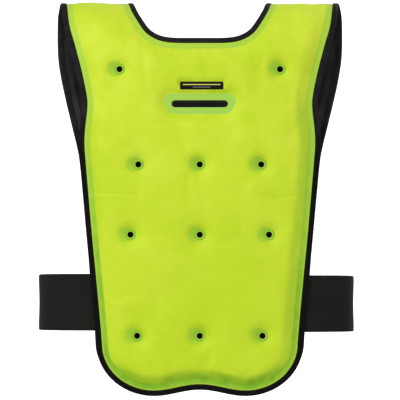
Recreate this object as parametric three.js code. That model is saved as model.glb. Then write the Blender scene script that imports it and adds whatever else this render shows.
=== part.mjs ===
// A sleeveless pullover cooling vest, in the form that it has when it is worn.
// Millimetres, +Z up. The origin is the middle of the crest of the shoulders, where the vest hangs.
// The back panel faces -Y and the front panel faces +Y, with the wearer's hollow between them.
//
// Both panels lie on one bent sheet, the body sheet. A point of that sheet is named by x, across
// the vest, and run, the length along the sheet from the crest, below 0 on the back panel. Every
// layer is a height above the sheet, counted away from the wearer.

import * as THREE from "three";

// Sizes of the whole vest
const vestLength = 626;
const backShoulderHalf = 224;
const frontShoulderHalf = 229;
const seamHalf = (backShoulderHalf + frontShoulderHalf) / 2;
const backHemHalf = 165;
const frontHemHalf = 169;
const hemCornerRise = 83;
const hemLobeHalf = 73;
const hemNotchRise = 10;

// The neck opening
const neckHalf = 107;
const neckSeamHalf = 105;
const backNeckDrop = 54.5;
const frontNeckDrop = 95;

// The bent sheet that the layers lie on
const chestHalfDepth = 85;
const hemHalfDepth = 78;
const shoulderDrop = 100;
const leftSlack = 31;
const rightSlack = 20;
const sectionPower = 3;
const seamBehindCrest = 30;

// Where the sheet, and each elastic band with it, turns back towards the front panel
const widestHalf = Math.max(backShoulderHalf, frontShoulderHalf);
const leftReach = widestHalf + leftSlack;
const rightReach = widestHalf + rightSlack;

// Layers of a panel
const clearance = 0.3;
const liningWall = 1;
const weldThickness = 1.6;
const puffHeight = 10;
const shoulderPuff = 3;
const bindingWidth = 8;
const bindingWall = 0.8;
const flangeWidth = 3;
const edgeWeldWidth = 6;
const edgeRise = 30;

// The round welds, each with an open eyelet
const eyeletHoleRadius = 4.75;
const eyeletWeldRadius = 9.5;
const eyeletRise = 14;
const eyeletSides = 8;

// The welded field with its slot, and the tag above it
const fieldWidth = 122;
const fieldHeight = 34.5;
const fieldTaper = 7;
const fieldRise = 14;
const slotLength = 90;
const slotHeight = 11;
const slotEndSides = 6;
const tagWidth = 69;
const tagHeight = 12.5;
const tagWall = 0.8;
const tagDrop = 124;
const tagShift = 3;
const tagSeatHeight = 6;
const tagSeatBlend = 6;
const fieldBelowTag = 5.5;
const fieldDrop = tagDrop + tagHeight + fieldBelowTag;

// The elastic side bands
const bandWidth = 88;
const bandAboveHem = 105;
const bandDrop = vestLength - bandAboveHem - bandWidth;
const bandWall = 2;
const bandOverlap = 28;
const bandStep = 13;

// How finely the sheet is divided
const bendStep = 16;
const sideStep = 32;
const cornerStep = 18;
const fineGrid = 32;
const coarseGrid = 60;
const profileSteps = 120;
const outlineSteps = 40;
const edgeMidRise = 0.3;
const eyeletMidRise = 0.4;

// The outer edge of the back panel: drop as a share of vestLength, half as a share of backShoulderHalf.
const backSide = [
  { drop: 0, half: 1 },
  { drop: 0.05, half: 0.973 },
  { drop: 0.112, half: 0.924 },
  { drop: 0.173, half: 0.879 },
  { drop: 0.233, half: 0.845 },
  { drop: 0.264, half: 0.84 },
  { drop: 0.316, half: 0.856 },
  { drop: 0.356, half: 0.861 },
  { drop: 0.4, half: 0.853 },
  { drop: 0.498, half: 0.83 },
  { drop: 0.604, half: 0.804 },
  { drop: 0.703, half: 0.777 },
  { drop: 0.808, half: 0.75 },
];

// The outer edge of the front panel: drop as a share of vestLength, half as a share of frontShoulderHalf.
const frontSide = [
  { drop: 0.04, half: 1 },
  { drop: 0.123, half: 0.999 },
  { drop: 0.184, half: 0.978 },
  { drop: 0.246, half: 0.943 },
  { drop: 0.307, half: 0.904 },
  { drop: 0.367, half: 0.865 },
  { drop: 0.409, half: 0.847 },
  { drop: 0.511, half: 0.821 },
  { drop: 0.613, half: 0.795 },
  { drop: 0.695, half: 0.777 },
  { drop: 0.808, half: 0.749 },
];

// The neck edge from the crest down to its middle: drop as a share of the neck's drop, half as a
// share of neckHalf.
const neckSide = [
  { drop: 0, half: 1 },
  { drop: 0.13, half: 0.957 },
  { drop: 0.31, half: 0.907 },
  { drop: 0.484, half: 0.85 },
  { drop: 0.66, half: 0.787 },
  { drop: 0.765, half: 0.738 },
  { drop: 0.86, half: 0.668 },
  { drop: 0.94, half: 0.572 },
  { drop: 0.985, half: 0.45 },
  { drop: 1, half: 0.28 },
  { drop: 1, half: 0 },
];

// Round welds in rows: drop as a share of vestLength, offset as a share of backShoulderHalf.
const eyeletRows = [
  { drop: 0.166, offset: 0.571, middle: false },
  { drop: 0.409, offset: 0.437, middle: true },
  { drop: 0.588, offset: 0.493, middle: true },
  { drop: 0.846, offset: 0.446, middle: true },
];

// Soft folds of the back panel: the ends across as shares of backShoulderHalf, down as shares of
// vestLength, the depth as a share of puffHeight and the width as a share of edgeRise.
const backFolds = [
  { fromX: -0.76, fromDrop: 0.484, toX: -0.4, toDrop: 0.487, depth: 0.16, width: 0.35 },
  { fromX: 0.3, fromDrop: 0.488, toX: 0.7, toDrop: 0.493, depth: 0.07, width: 0.35 },
  { fromX: -0.4, fromDrop: 0.795, toX: -0.16, toDrop: 0.727, depth: 0.18, width: 0.6 },
  { fromX: -0.16, fromDrop: 0.727, toX: 0.04, toDrop: 0.666, depth: 0.14, width: 0.6 },
  { fromX: -0.01, fromDrop: 0.97, toX: 0.08, toDrop: 0.895, depth: 0.14, width: 0.4 },
  { fromX: -0.73, fromDrop: 0.25, toX: -0.58, toDrop: 0.19, depth: 0.14, width: 0.5 },
  { fromX: -0.58, fromDrop: 0.02, toX: -0.5, toDrop: 0.1, depth: 0.2, width: 0.5 },
];

// Heights above the body sheet that follow from the layers
const chamberLow = liningWall + clearance;
const flangeHigh = chamberLow + weldThickness;
const bindingHigh = flangeHigh + clearance + bindingWall;
const bindingLow = -clearance - bindingWall;
const bandHigh = bindingLow - clearance;
const bandLow = bandHigh - bandWall;
const cutInset = bindingWall + clearance;
const weldZone = flangeWidth + edgeWeldWidth;

const limit = (value) => Math.min(1, Math.max(0, value));
const point = (x, run) => new THREE.Vector2(x, run);

// The middle line of the body sheet from the crest down: a quarter ellipse over the shoulder, then
// a line that draws in a little towards the hem.
function middleLine() {
  const rows = [{ run: 0, depth: 0, drop: 0 }];
  const add = (depth, drop) => {
    const last = rows[rows.length - 1];
    const run = last.run + Math.hypot(depth - last.depth, drop - last.drop);
    rows.push({ run, depth, drop });
  };
  for (let i = 1; i <= profileSteps; i++) {
    const turn = (i / profileSteps) * (Math.PI / 2);
    add(chestHalfDepth * Math.sin(turn), shoulderDrop * (1 - Math.cos(turn)));
  }
  const past = vestLength + sideStep;
  for (let i = 1; i <= profileSteps; i++) {
    const share = i / profileSteps;
    const drawnIn = (chestHalfDepth - hemHalfDepth) * share * share;
    add(chestHalfDepth - drawnIn, shoulderDrop + (past - shoulderDrop) * share);
  }
  return rows;
}

const bodyLine = middleLine();

// Reads the middle line where its named column has the value.
function alongLine(column, value) {
  let i = 1;
  while (i < bodyLine.length - 1 && bodyLine[i][column] < value) i++;
  const a = bodyLine[i - 1];
  const b = bodyLine[i];
  const share = (value - a[column]) / (b[column] - a[column]);
  const between = (name) => a[name] + (b[name] - a[name]) * share;
  return { run: between("run"), depth: between("depth"), drop: between("drop") };
}

const runOf = (drop) => alongLine("drop", drop).run;

// How far the sheet has drawn back at x, as a share of its depth in the middle.
function sectionShare(x) {
  const reach = x < 0 ? leftReach : rightReach;
  return Math.pow(Math.max(0, 1 - Math.pow(Math.abs(x) / reach, sectionPower)), 1 / sectionPower);
}

function onSheet(x, run) {
  const at = alongLine("run", Math.abs(run));
  return new THREE.Vector3(x, Math.sign(run) * at.depth * sectionShare(x), -at.drop);
}

// The place of a point at a height above the sheet.
function place(x, run, height) {
  const nudge = 0.5;
  const across = onSheet(x + nudge, run).sub(onSheet(x - nudge, run));
  const along = onSheet(x, run + nudge).sub(onSheet(x, run - nudge));
  return onSheet(x, run).addScaledVector(across.cross(along).normalize(), height);
}

// Points on a fine line that lie about stepAt(point) apart, with both ends kept.
function spaced(fine, stepAt) {
  const marks = [0];
  for (let i = 1; i < fine.length; i++) {
    marks.push(marks[i - 1] + fine[i].distanceTo(fine[i - 1]) / stepAt(fine[i]));
  }
  const total = marks[marks.length - 1];
  const count = Math.max(2, Math.round(total));
  const found = [fine[0].clone()];
  let at = 1;
  for (let i = 1; i < count; i++) {
    const mark = (total * i) / count;
    while (marks[at] < mark) at++;
    const share = (mark - marks[at - 1]) / (marks[at] - marks[at - 1]);
    found.push(fine[at - 1].clone().lerp(fine[at], share));
  }
  found.push(fine[fine.length - 1].clone());
  return found;
}

// Moves an open line to its left by a distance. Its two ends move across only, so they stay on the seam.
function inset(line, distance) {
  return line.map((p, i) => {
    const before = line[Math.max(0, i - 1)];
    const after = line[Math.min(line.length - 1, i + 1)];
    const left = point(before.y - after.y, after.x - before.x).normalize();
    if (i === 0 || i === line.length - 1) left.set(Math.sign(left.x), 0);
    return p.clone().addScaledVector(left, distance);
  });
}

// The half outline of a panel from the seam down its side, round the hem corner to the hem's middle.
function halfOutline(rows, shoulderHalf, hemHalf, seamRun) {
  const cornerDrop = vestLength - hemCornerRise;
  const knots = [point(seamHalf, seamRun)];
  for (const row of rows) knots.push(point(row.half * shoulderHalf, -runOf(row.drop * vestLength)));
  knots.push(point(hemHalf, -runOf(cornerDrop)));
  const line = new THREE.SplineCurve(knots).getPoints(rows.length * outlineSteps);
  for (let i = 1; i <= outlineSteps; i++) {
    const turn = (i / outlineSteps) * (Math.PI / 2);
    const x = hemLobeHalf + (hemHalf - hemLobeHalf) * Math.cos(turn);
    line.push(point(x, -runOf(cornerDrop + hemCornerRise * Math.sin(turn))));
  }
  for (let i = 1; i <= outlineSteps; i++) {
    const x = hemLobeHalf * (1 - i / outlineSteps);
    const lift = (hemNotchRise * (1 + Math.cos((Math.PI * x) / hemLobeHalf))) / 2;
    line.push(point(x, -runOf(vestLength - lift)));
  }
  return line;
}

// The half neck edge from the seam down to its middle.
function halfNeck(neckDrop, seamRun) {
  const knots = neckSide.map(({ drop, half }) => point(half * neckHalf, -runOf(drop * neckDrop)));
  const line = new THREE.SplineCurve(knots).getPoints(neckSide.length * outlineSteps);
  return [point(neckSeamHalf, seamRun), ...line.filter((p) => p.y < seamRun)];
}

const mirrored = (line) => line.map((p) => point(-p.x, p.y));
const joinedHalves = (left, right) => [...left, ...right.slice(1)];

// A finer step where the sheet bends over the shoulder and round the hem corners.
function stepHere(p) {
  if (p.y > -runOf(shoulderDrop)) return bendStep;
  return p.y < -runOf(vestLength - hemCornerRise) ? cornerStep : sideStep;
}

const ring = (centre, radius, sides, phase) =>
  Array.from({ length: sides }, (_, i) => {
    const turn = (2 * Math.PI * (i + phase)) / sides;
    return point(centre.x + radius * Math.cos(turn), centre.y + radius * Math.sin(turn));
  });

// A round-ended slot of a length and height, grown by a margin.
function slotLine(centre, margin) {
  const radius = slotHeight / 2 + margin;
  const reach = slotLength / 2 - slotHeight / 2;
  const line = [];
  for (const side of [1, -1]) {
    for (let i = 0; i <= slotEndSides; i++) {
      const turn = Math.PI * (i / slotEndSides - 0.5);
      const x = side * (reach + radius * Math.cos(turn));
      line.push(point(centre.x + x, centre.y + side * radius * Math.sin(turn)));
    }
  }
  const middles = [-0.7, 0, 0.7].map((share) => share * reach);
  const floor = middles.map((x) => point(centre.x + x, centre.y - radius));
  const roof = middles.map((x) => point(centre.x - x, centre.y + radius));
  const half = slotEndSides + 1;
  return [...line.slice(0, half), ...roof, ...line.slice(half), ...floor];
}

// How far a point lies outside the welded field, below 0 within it. The field narrows downwards.
function fieldDistance(field, p) {
  const down = limit((field.y + fieldHeight / 2 - p.y) / fieldHeight);
  const round = fieldHeight / 2;
  const halfRun = fieldWidth / 2 - fieldTaper * down - round;
  const x = Math.max(0, Math.abs(p.x - field.x) - halfRun);
  return Math.hypot(x, p.y - field.y) - round;
}

// How far a point lies outside the seat of the tag.
function seatDistance(seat, p) {
  const beside = Math.max(0, Math.abs(p.x - seat.x) - tagWidth / 2);
  const beyond = Math.max(0, Math.abs(p.y - seat.y) - tagHeight / 2);
  return Math.hypot(beside, beyond);
}

function segmentDistance(p, a, b) {
  const line = b.clone().sub(a);
  const share = limit(p.clone().sub(a).dot(line) / Math.max(line.lengthSq(), Number.EPSILON));
  return p.distanceTo(a.clone().addScaledVector(line, share));
}

// Edges of a closed line, with what each one hides from view under the binding.
const edgesOf = (loop, hiddenAt) =>
  loop.map((p, i) => ({ a: p, b: loop[(i + 1) % loop.length], hidden: hiddenAt(i) }));

const seenDistance = (edges, p) =>
  Math.min(...edges.map((edge) => segmentDistance(p, edge.a, edge.b) - edge.hidden));

function isInside(loop, p) {
  let inside = false;
  loop.forEach((a, i) => {
    const b = loop[(i + 1) % loop.length];
    if (a.y > p.y !== b.y > p.y && p.x < a.x + ((b.x - a.x) * (p.y - a.y)) / (b.y - a.y)) inside = !inside;
  });
  return inside;
}

// A round rise from 0 at a weld to 1 at a radius from it.
const rise = (distance, radius) => Math.sqrt(1 - Math.pow(1 - limit(distance / radius), 2));

// Everything that lies in the plane of one panel. Its x and run are the panel's own, with the hem
// below; turn is 1 for the back panel and -1 for the front one, which is the other way up and round.
function panelPlan({ turn, rows, shoulderHalf, hemHalf, neckDrop, folds, hasField }) {
  const seamRun = turn * seamBehindCrest - clearance / 2;
  const side = halfOutline(rows, shoulderHalf, hemHalf, seamRun);
  const neck = halfNeck(neckDrop, seamRun);
  const outer = spaced(joinedHalves(mirrored(side), [...side].reverse()), stepHere);
  const collar = spaced(joinedHalves(neck, mirrored(neck).reverse()), stepHere);
  const cutOuter = inset(outer, cutInset);
  const cutCollar = inset(collar, cutInset);
  const seamLine = (from, to) => spaced([from, to], () => sideStep).slice(1, -1);
  const seams = [
    seamLine(cutOuter[cutOuter.length - 1], cutCollar[0]),
    seamLine(cutCollar[cutCollar.length - 1], cutOuter[0]),
  ];
  const loop = [...cutOuter, ...seams[0], ...cutCollar, ...seams[1]];
  const collarStart = cutOuter.length + seams[0].length;
  const isBound = (i) =>
    i < cutOuter.length - 1 || (i >= collarStart && i < collarStart + cutCollar.length - 1);
  const edges = edgesOf(loop, (i) => (isBound(i) ? bindingWidth - cutInset : 0));
  const eyelets = [];
  for (const row of eyeletRows) {
    const x = row.offset * backShoulderHalf;
    const run = -runOf(row.drop * vestLength);
    for (const at of row.middle ? [-x, 0, x] : [-x, x]) eyelets.push(point(at, run));
  }
  const creases = folds.map((fold) => ({
    a: point(fold.fromX * backShoulderHalf, -runOf(fold.fromDrop * vestLength)),
    b: point(fold.toX * backShoulderHalf, -runOf(fold.toDrop * vestLength)),
    depth: fold.depth * puffHeight,
    width: fold.width * edgeRise,
  }));
  const field = hasField ? point(0, -runOf(fieldDrop + fieldHeight / 2)) : null;
  const seat = hasField ? point(tagShift, -runOf(tagDrop + tagHeight / 2)) : null;
  return { turn, seamRun, outer, collar, loop, edges, eyelets, creases, field, seat };
}

// The thickness of the chamber: thin at every weld, full between them, drawn in at the folds, even
// under the tag, and pressed thinner where the sheet bends over the shoulder.
function thicknessAt(plan, p) {
  let full = rise(seenDistance(plan.edges, p) - weldZone, edgeRise);
  for (const eyelet of plan.eyelets) full *= rise(p.distanceTo(eyelet) - eyeletWeldRadius, eyeletRise);
  if (plan.field) full *= rise(fieldDistance(plan.field, p), fieldRise);
  const bent = limit(1 - Math.abs(p.y) / runOf(shoulderDrop));
  let puff = puffHeight + (shoulderPuff - puffHeight) * bent;
  for (const crease of plan.creases) {
    const away = segmentDistance(p, crease.a, crease.b) / crease.width;
    puff -= crease.depth * Math.exp(-away * away);
  }
  const free = puff * full;
  if (!plan.seat) return weldThickness + free;
  const share = limit(seatDistance(plan.seat, p) / tagSeatBlend);
  return weldThickness + tagSeatHeight + (free - tagSeatHeight) * share;
}

// Points of a net of even triangles over a panel, closer together where the sheet bends.
function gridPoints(plan, spacing) {
  const bendRun = -runOf(shoulderDrop);
  const found = [];
  let run = plan.seamRun;
  for (let row = 0; run > -runOf(vestLength); row++) {
    const gap = run > bendRun ? Math.min(spacing, bendStep) : spacing;
    const across = run > bendRun ? Math.min(spacing, fineGrid) : spacing;
    const first = row % 2 ? across / 2 : 0;
    for (let x = first; x < widestHalf; x += across) {
      found.push(point(x, run));
      if (x > 0) found.push(point(-x, run));
    }
    run -= gap * Math.sin(Math.PI / 3);
  }
  return found;
}

// The inner points of a panel's net. The fine net also follows every weld and its rise. A point is
// kept where it has enough room to those before it.
function innerPoints(plan, holes, isFine) {
  const spacing = isFine ? fineGrid : coarseGrid;
  const closest = 1;
  const kept = [];
  const keep = (list, room) => {
    for (const p of list) if (kept.every((other) => other.distanceTo(p) > room)) kept.push(p);
  };
  for (const line of [plan.outer, plan.collar]) {
    keep(inset(line, bindingWidth).filter((p) => seenDistance(plan.edges, p) > -closest), closest);
  }
  if (isFine) {
    for (const eyelet of plan.eyelets) {
      keep(ring(eyelet, eyeletWeldRadius, eyeletSides, 0.5), closest);
      keep(ring(eyelet, eyeletWeldRadius + eyeletRise * eyeletMidRise, eyeletSides, 0), closest);
      keep(ring(eyelet, eyeletWeldRadius + eyeletRise, eyeletSides, 0.5), closest);
    }
    if (plan.field) {
      const margin = (fieldHeight - slotHeight) / 2;
      keep(tagGrid().flat(), closest);
      keep(slotLine(plan.field, margin), closest);
      keep(slotLine(plan.field, margin + fieldRise / 2), tagSeatBlend);
    }
    for (const share of [0, edgeMidRise]) {
      const away = weldZone + edgeRise * share;
      for (const line of [plan.outer, plan.collar]) {
        const near = inset(line, bindingWidth + away).filter((_, i) => share === 0 || i % 2 === 0);
        keep(near.filter((p) => seenDistance(plan.edges, p) > away - closest), bendStep / 2);
      }
    }
  }
  const edgeRoom = isFine ? weldZone + edgeRise / 2 : bindingWidth;
  const grid = gridPoints(plan, spacing).filter((p) => seenDistance(plan.edges, p) > edgeRoom);
  const clearOfHoles = grid.filter((p) => holes.flat().every((q) => q.distanceTo(p) > bendStep));
  keep(clearOfHoles, isFine ? spacing / 2 : bendStep / 2);
  return kept.filter((p) => isInside(plan.loop, p) && !holes.some((hole) => isInside(hole, p)));
}

// Delaunay triangles over points, added one by one: the triangles whose circle holds a new point
// are taken out, and the hole that they leave is joined to it.
function netTriangles(points) {
  const far = 1e5;
  const all = [...points, point(-far, -far), point(far, -far), point(0, far)];
  const circleOf = (i, j, k) => {
    const [a, b, c] = [all[i], all[j], all[k]];
    const bx = b.x - a.x;
    const by = b.y - a.y;
    const cx = c.x - a.x;
    const cy = c.y - a.y;
    const d = 2 * (bx * cy - by * cx);
    const ux = (cy * (bx * bx + by * by) - by * (cx * cx + cy * cy)) / d;
    const uy = (bx * (cx * cx + cy * cy) - cx * (bx * bx + by * by)) / d;
    return { corners: [i, j, k], x: a.x + ux, y: a.y + uy, radiusSq: ux * ux + uy * uy };
  };
  const n = points.length;
  let triangles = [circleOf(n, n + 1, n + 2)];
  for (let i = 0; i < n; i++) {
    const p = points[i];
    const open = new Map();
    const rest = [];
    for (const t of triangles) {
      if ((p.x - t.x) ** 2 + (p.y - t.y) ** 2 >= t.radiusSq) {
        rest.push(t);
        continue;
      }
      t.corners.forEach((a, k) => {
        const b = t.corners[(k + 1) % 3];
        if (!open.delete(b + "," + a)) open.set(a + "," + b, [a, b]);
      });
    }
    for (const [a, b] of open.values()) rest.push(circleOf(a, b, i));
    triangles = rest;
  }
  return triangles.map((t) => t.corners).filter((corners) => corners.every((i) => i < n));
}

// A net over a panel: the points of its edge and holes come first, in the same order in every net.
function panelNet(plan, holes, isFine) {
  const shake = 1e-3;
  const rim = [...plan.loop, ...holes.flat()];
  const rimEdges = [plan.loop, ...holes].flatMap((loop) => edgesOf(loop, () => 0));
  const crowds = (p) => rimEdges.some(({ a, b }) => a.clone().sub(p).dot(b.clone().sub(p)) < 0);
  const inner = innerPoints(plan, holes, isFine).filter((p) => !crowds(p));
  const points = [...rim, ...inner].map((p, i) => {
    return point(p.x + shake * Math.sin(i * i), p.y + shake * Math.cos(i * i));
  });
  let start = plan.loop.length;
  const outline = points.slice(0, start);
  const holeLoops = holes.map((hole) => points.slice(start, (start += hole.length)));
  const middleOf = ([a, b, c]) => points[a].clone().add(points[b]).add(points[c]).divideScalar(3);
  const whole = netTriangles(points).filter((corners) => isInside(outline, middleOf(corners)));
  const pierced = whole.filter((corners) => !holeLoops.some((loop) => isInside(loop, middleOf(corners))));
  return { points, whole, pierced };
}

// Directed edges that only one triangle uses.
function rimOf(triangles) {
  const rim = new Map();
  for (const corners of triangles) {
    corners.forEach((a, k) => {
      const b = corners[(k + 1) % 3];
      if (!rim.delete(b + "," + a)) rim.set(a + "," + b, [a, b]);
    });
  }
  return [...rim.values()];
}

// A mesh from corners in space and triangles, with its faces turned out.
function meshOf(name, finish, corners, triangles) {
  const volume = triangles.reduce((sum, [a, b, c]) => {
    return sum + corners[a].dot(corners[b].clone().cross(corners[c])) / 6;
  }, 0);
  const geometry = new THREE.BufferGeometry();
  geometry.setFromPoints(corners);
  geometry.setIndex(triangles.flatMap(([a, b, c]) => (volume < 0 ? [a, c, b] : [a, b, c])));
  geometry.computeVertexNormals();
  const mesh = new THREE.Mesh(geometry, finish);
  mesh.name = name;
  return mesh;
}

// A layer of a panel between a lower and an upper face, closed round its edge and its holes. A face
// has the points of its net, its triangles, and the height of a point above the sheet.
function layer(name, finish, plan, lower, upper) {
  const put = (face) => face.points.map((p) => place(plan.turn * p.x, plan.turn * p.y, face.height(p)));
  const up = lower.points.length;
  const triangles = lower.triangles.map(([a, b, c]) => [a, c, b]);
  for (const [a, b, c] of upper.triangles) triangles.push([a + up, b + up, c + up]);
  for (const [a, b] of rimOf(upper.triangles)) {
    triangles.push([a, b, b + up]);
    triangles.push([a, b + up, a + up]);
  }
  return meshOf(name, finish, [...put(lower), ...put(upper)], triangles);
}

// A section carried through stations, each a list of corners in space. It is a ring where it has no caps.
function lofted(name, finish, stations, capTriangles) {
  const size = stations[0].length;
  const corners = stations.flat();
  const triangles = [];
  const spans = capTriangles ? stations.length - 1 : stations.length;
  for (let i = 0; i < spans; i++) {
    const here = i * size;
    const next = ((i + 1) % stations.length) * size;
    for (let k = 0; k < size; k++) {
      const l = (k + 1) % size;
      triangles.push([here + k, next + k, next + l]);
      triangles.push([here + k, next + l, here + l]);
    }
  }
  if (capTriangles) {
    const last = corners.length - size;
    for (const [a, b, c] of capTriangles) {
      triangles.push([a, b, c]);
      triangles.push([last + a, last + c, last + b]);
    }
  }
  return meshOf(name, finish, corners, triangles);
}

// The fold-over tape round an edge, in section: how far in from the edge, and the height.
const bindingSection = [
  { inFrom: bindingWidth, height: bindingHigh },
  { inFrom: 0, height: bindingHigh },
  { inFrom: 0, height: bindingLow },
  { inFrom: bindingWidth, height: bindingLow },
  { inFrom: bindingWidth, height: bindingLow + bindingWall },
  { inFrom: bindingWall, height: bindingLow + bindingWall },
  { inFrom: bindingWall, height: bindingHigh - bindingWall },
  { inFrom: bindingWidth, height: bindingHigh - bindingWall },
];
const bindingCaps = THREE.ShapeUtils.triangulateShape(
  bindingSection.map(({ inFrom, height }) => point(inFrom, height)),
  [],
);
const flatCaps = [
  [0, 1, 2],
  [0, 2, 3],
];

// Stations of the tape along a panel's edge line.
function bindingStations(plan, line) {
  const lines = bindingSection.map(({ inFrom }) => inset(line, inFrom));
  return line.map((_, i) =>
    bindingSection.map(({ height }, k) => {
      const p = lines[k][i];
      return place(plan.turn * p.x, plan.turn * p.y, height);
    }),
  );
}

// Corners of the tag in the panel's plane, in two rows.
function tagGrid() {
  const columns = 4;
  return [tagDrop, tagDrop + tagHeight].map((drop) =>
    Array.from({ length: columns + 1 }, (_, i) => {
      return point(tagShift + tagWidth * (i / columns - 0.5), -runOf(drop));
    }),
  );
}

function tag(name, finish, plan) {
  const [top, bottom] = tagGrid();
  const stations = top.map((p, i) => {
    const low = [p, bottom[i]].map((q) => chamberLow + thicknessAt(plan, q) + clearance);
    return [
      place(p.x, p.y, low[0]),
      place(p.x, p.y, low[0] + tagWall),
      place(bottom[i].x, bottom[i].y, low[1] + tagWall),
      place(bottom[i].x, bottom[i].y, low[1]),
    ];
  });
  return lofted(name, finish, stations, flatCaps);
}

// One elastic band, from under the back panel round the wearer's side to under the front panel.
function sideBand(name, finish, side) {
  const reach = side < 0 ? leftReach : rightReach;
  const upper = alongLine("drop", bandDrop);
  const lower = alongLine("drop", bandDrop + bandWidth);
  const overlapX = backHemHalf - bandOverlap;
  const widest = Math.asin(Math.sqrt(1 - Math.pow(overlapX / reach, sectionPower)));
  const steps = 8 * outlineSteps;
  const power = 2 / sectionPower;
  const fine = Array.from({ length: steps + 1 }, (_, i) => {
    const turn = widest * ((2 * i) / steps - 1);
    const out = reach * Math.pow(Math.cos(turn), power);
    const back = Math.sign(turn) * Math.pow(Math.abs(Math.sin(turn)), power);
    return point(side * out, back * upper.depth);
  });
  const round = spaced(fine, () => bandStep);
  const atDepth = (depth) => round.map((p) => point(p.x, (p.y * depth) / upper.depth));
  const rows = [upper, lower].map(({ drop, depth }) => ({ drop, line: atDepth(depth) }));
  const stations = round.map((_, i) => {
    const corner = ({ drop, line }, height) => {
      const before = line[Math.max(0, i - 1)];
      const after = line[Math.min(line.length - 1, i + 1)];
      const out = point(after.y - before.y, before.x - after.x).normalize().multiplyScalar(side);
      const p = line[i].clone().addScaledVector(out, height);
      return new THREE.Vector3(p.x, p.y, -drop);
    };
    return [
      corner(rows[0], bandLow),
      corner(rows[0], bandHigh),
      corner(rows[1], bandHigh),
      corner(rows[1], bandLow),
    ];
  });
  return lofted(name, finish, stations, flatCaps);
}

const limeFilm = new THREE.MeshStandardMaterial({ color: 0xc8dc3a, roughness: 0.55, metalness: 0 });
const blackKnit = new THREE.MeshStandardMaterial({ color: 0x232325, roughness: 0.9, metalness: 0 });
const blackTape = new THREE.MeshStandardMaterial({ color: 0x17161a, roughness: 0.8, metalness: 0 });
const blackElastic = new THREE.MeshStandardMaterial({ color: 0x20201c, roughness: 0.85, metalness: 0 });
const blackPrint = new THREE.MeshStandardMaterial({ color: 0x0c0c0c, roughness: 0.5, metalness: 0 });

// The chamber, lining and outer tape of one panel.
function panel(name, plan) {
  const holes = plan.eyelets.map((eyelet) => ring(eyelet, eyeletHoleRadius, eyeletSides, 0));
  if (plan.field) holes.push(slotLine(plan.field, 0));
  const fine = panelNet(plan, holes, true);
  const coarse = panelNet(plan, holes, false);
  const floor = { points: coarse.points, triangles: coarse.pierced, height: () => chamberLow };
  const skin = {
    points: fine.points,
    triangles: fine.pierced,
    height: (p) => chamberLow + thicknessAt(plan, p),
  };
  const inside = { points: coarse.points, triangles: coarse.whole, height: () => 0 };
  const outside = { ...inside, height: () => liningWall };
  const group = new THREE.Group();
  group.add(
    layer(name + "_chamber", limeFilm, plan, floor, skin),
    layer(name + "_lining", blackKnit, plan, inside, outside),
    lofted(name + "_binding", blackTape, bindingStations(plan, plan.outer), bindingCaps),
  );
  return group;
}

const backPlan = panelPlan({
  turn: 1,
  rows: backSide,
  shoulderHalf: backShoulderHalf,
  hemHalf: backHemHalf,
  neckDrop: backNeckDrop,
  folds: backFolds,
  hasField: true,
});
const frontPlan = panelPlan({
  turn: -1,
  rows: frontSide,
  shoulderHalf: frontShoulderHalf,
  hemHalf: frontHemHalf,
  neckDrop: frontNeckDrop,
  folds: [],
  hasField: false,
});

const vest = new THREE.Group();
vest.add(panel("back", backPlan), panel("front", frontPlan));
vest.add(
  lofted(
    "neck_binding",
    blackTape,
    [
      ...bindingStations(backPlan, backPlan.collar),
      ...bindingStations(frontPlan, frontPlan.collar).slice(1, -1),
    ],
    null,
  ),
  sideBand("side_band_left", blackElastic, -1),
  sideBand("side_band_right", blackElastic, 1),
  tag("label", blackPrint, backPlan),
);

export default vest;
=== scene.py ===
"""The looks of a sleeveless cooling vest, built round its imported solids.

Lengths are worked out in millimetres and go into the meshes in metres. The vest hangs as it is worn:
+Z is up, the back panel faces -Y and the origin is the middle of the crest of the shoulders.
"""

import logging
import math
from dataclasses import dataclass, field
from enum import Enum

import bmesh
import bpy
import numpy as np
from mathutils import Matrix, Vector
from mathutils.geometry import delaunay_2d_cdt


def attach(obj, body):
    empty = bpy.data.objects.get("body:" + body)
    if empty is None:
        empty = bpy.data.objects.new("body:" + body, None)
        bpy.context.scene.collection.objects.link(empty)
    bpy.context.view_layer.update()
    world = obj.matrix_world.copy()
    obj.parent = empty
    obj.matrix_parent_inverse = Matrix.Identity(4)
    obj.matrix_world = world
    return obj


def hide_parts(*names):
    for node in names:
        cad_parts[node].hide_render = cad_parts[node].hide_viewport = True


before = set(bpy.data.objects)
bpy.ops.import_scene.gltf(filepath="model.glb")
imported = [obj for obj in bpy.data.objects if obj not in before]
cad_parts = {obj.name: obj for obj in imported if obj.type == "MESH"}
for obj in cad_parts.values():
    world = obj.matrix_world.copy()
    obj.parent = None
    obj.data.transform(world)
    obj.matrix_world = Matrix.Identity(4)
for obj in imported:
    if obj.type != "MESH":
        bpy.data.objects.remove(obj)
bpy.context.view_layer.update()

log = logging.getLogger("vest")

METRES = 0.001
CHUNK = 256
FAR = 99.0

Colour = tuple[float, float, float]
Span = tuple[float, float]


# Small tools for lines and points


def limited(values: np.ndarray) -> np.ndarray:
    """Values held between 0 and 1."""
    return np.clip(values, 0.0, 1.0)


def eased(values: np.ndarray) -> np.ndarray:
    """The S curve 3t^2 - 2t^3 of values held between 0 and 1."""
    t = limited(values)
    return t * t * (3 - 2 * t)


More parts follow.
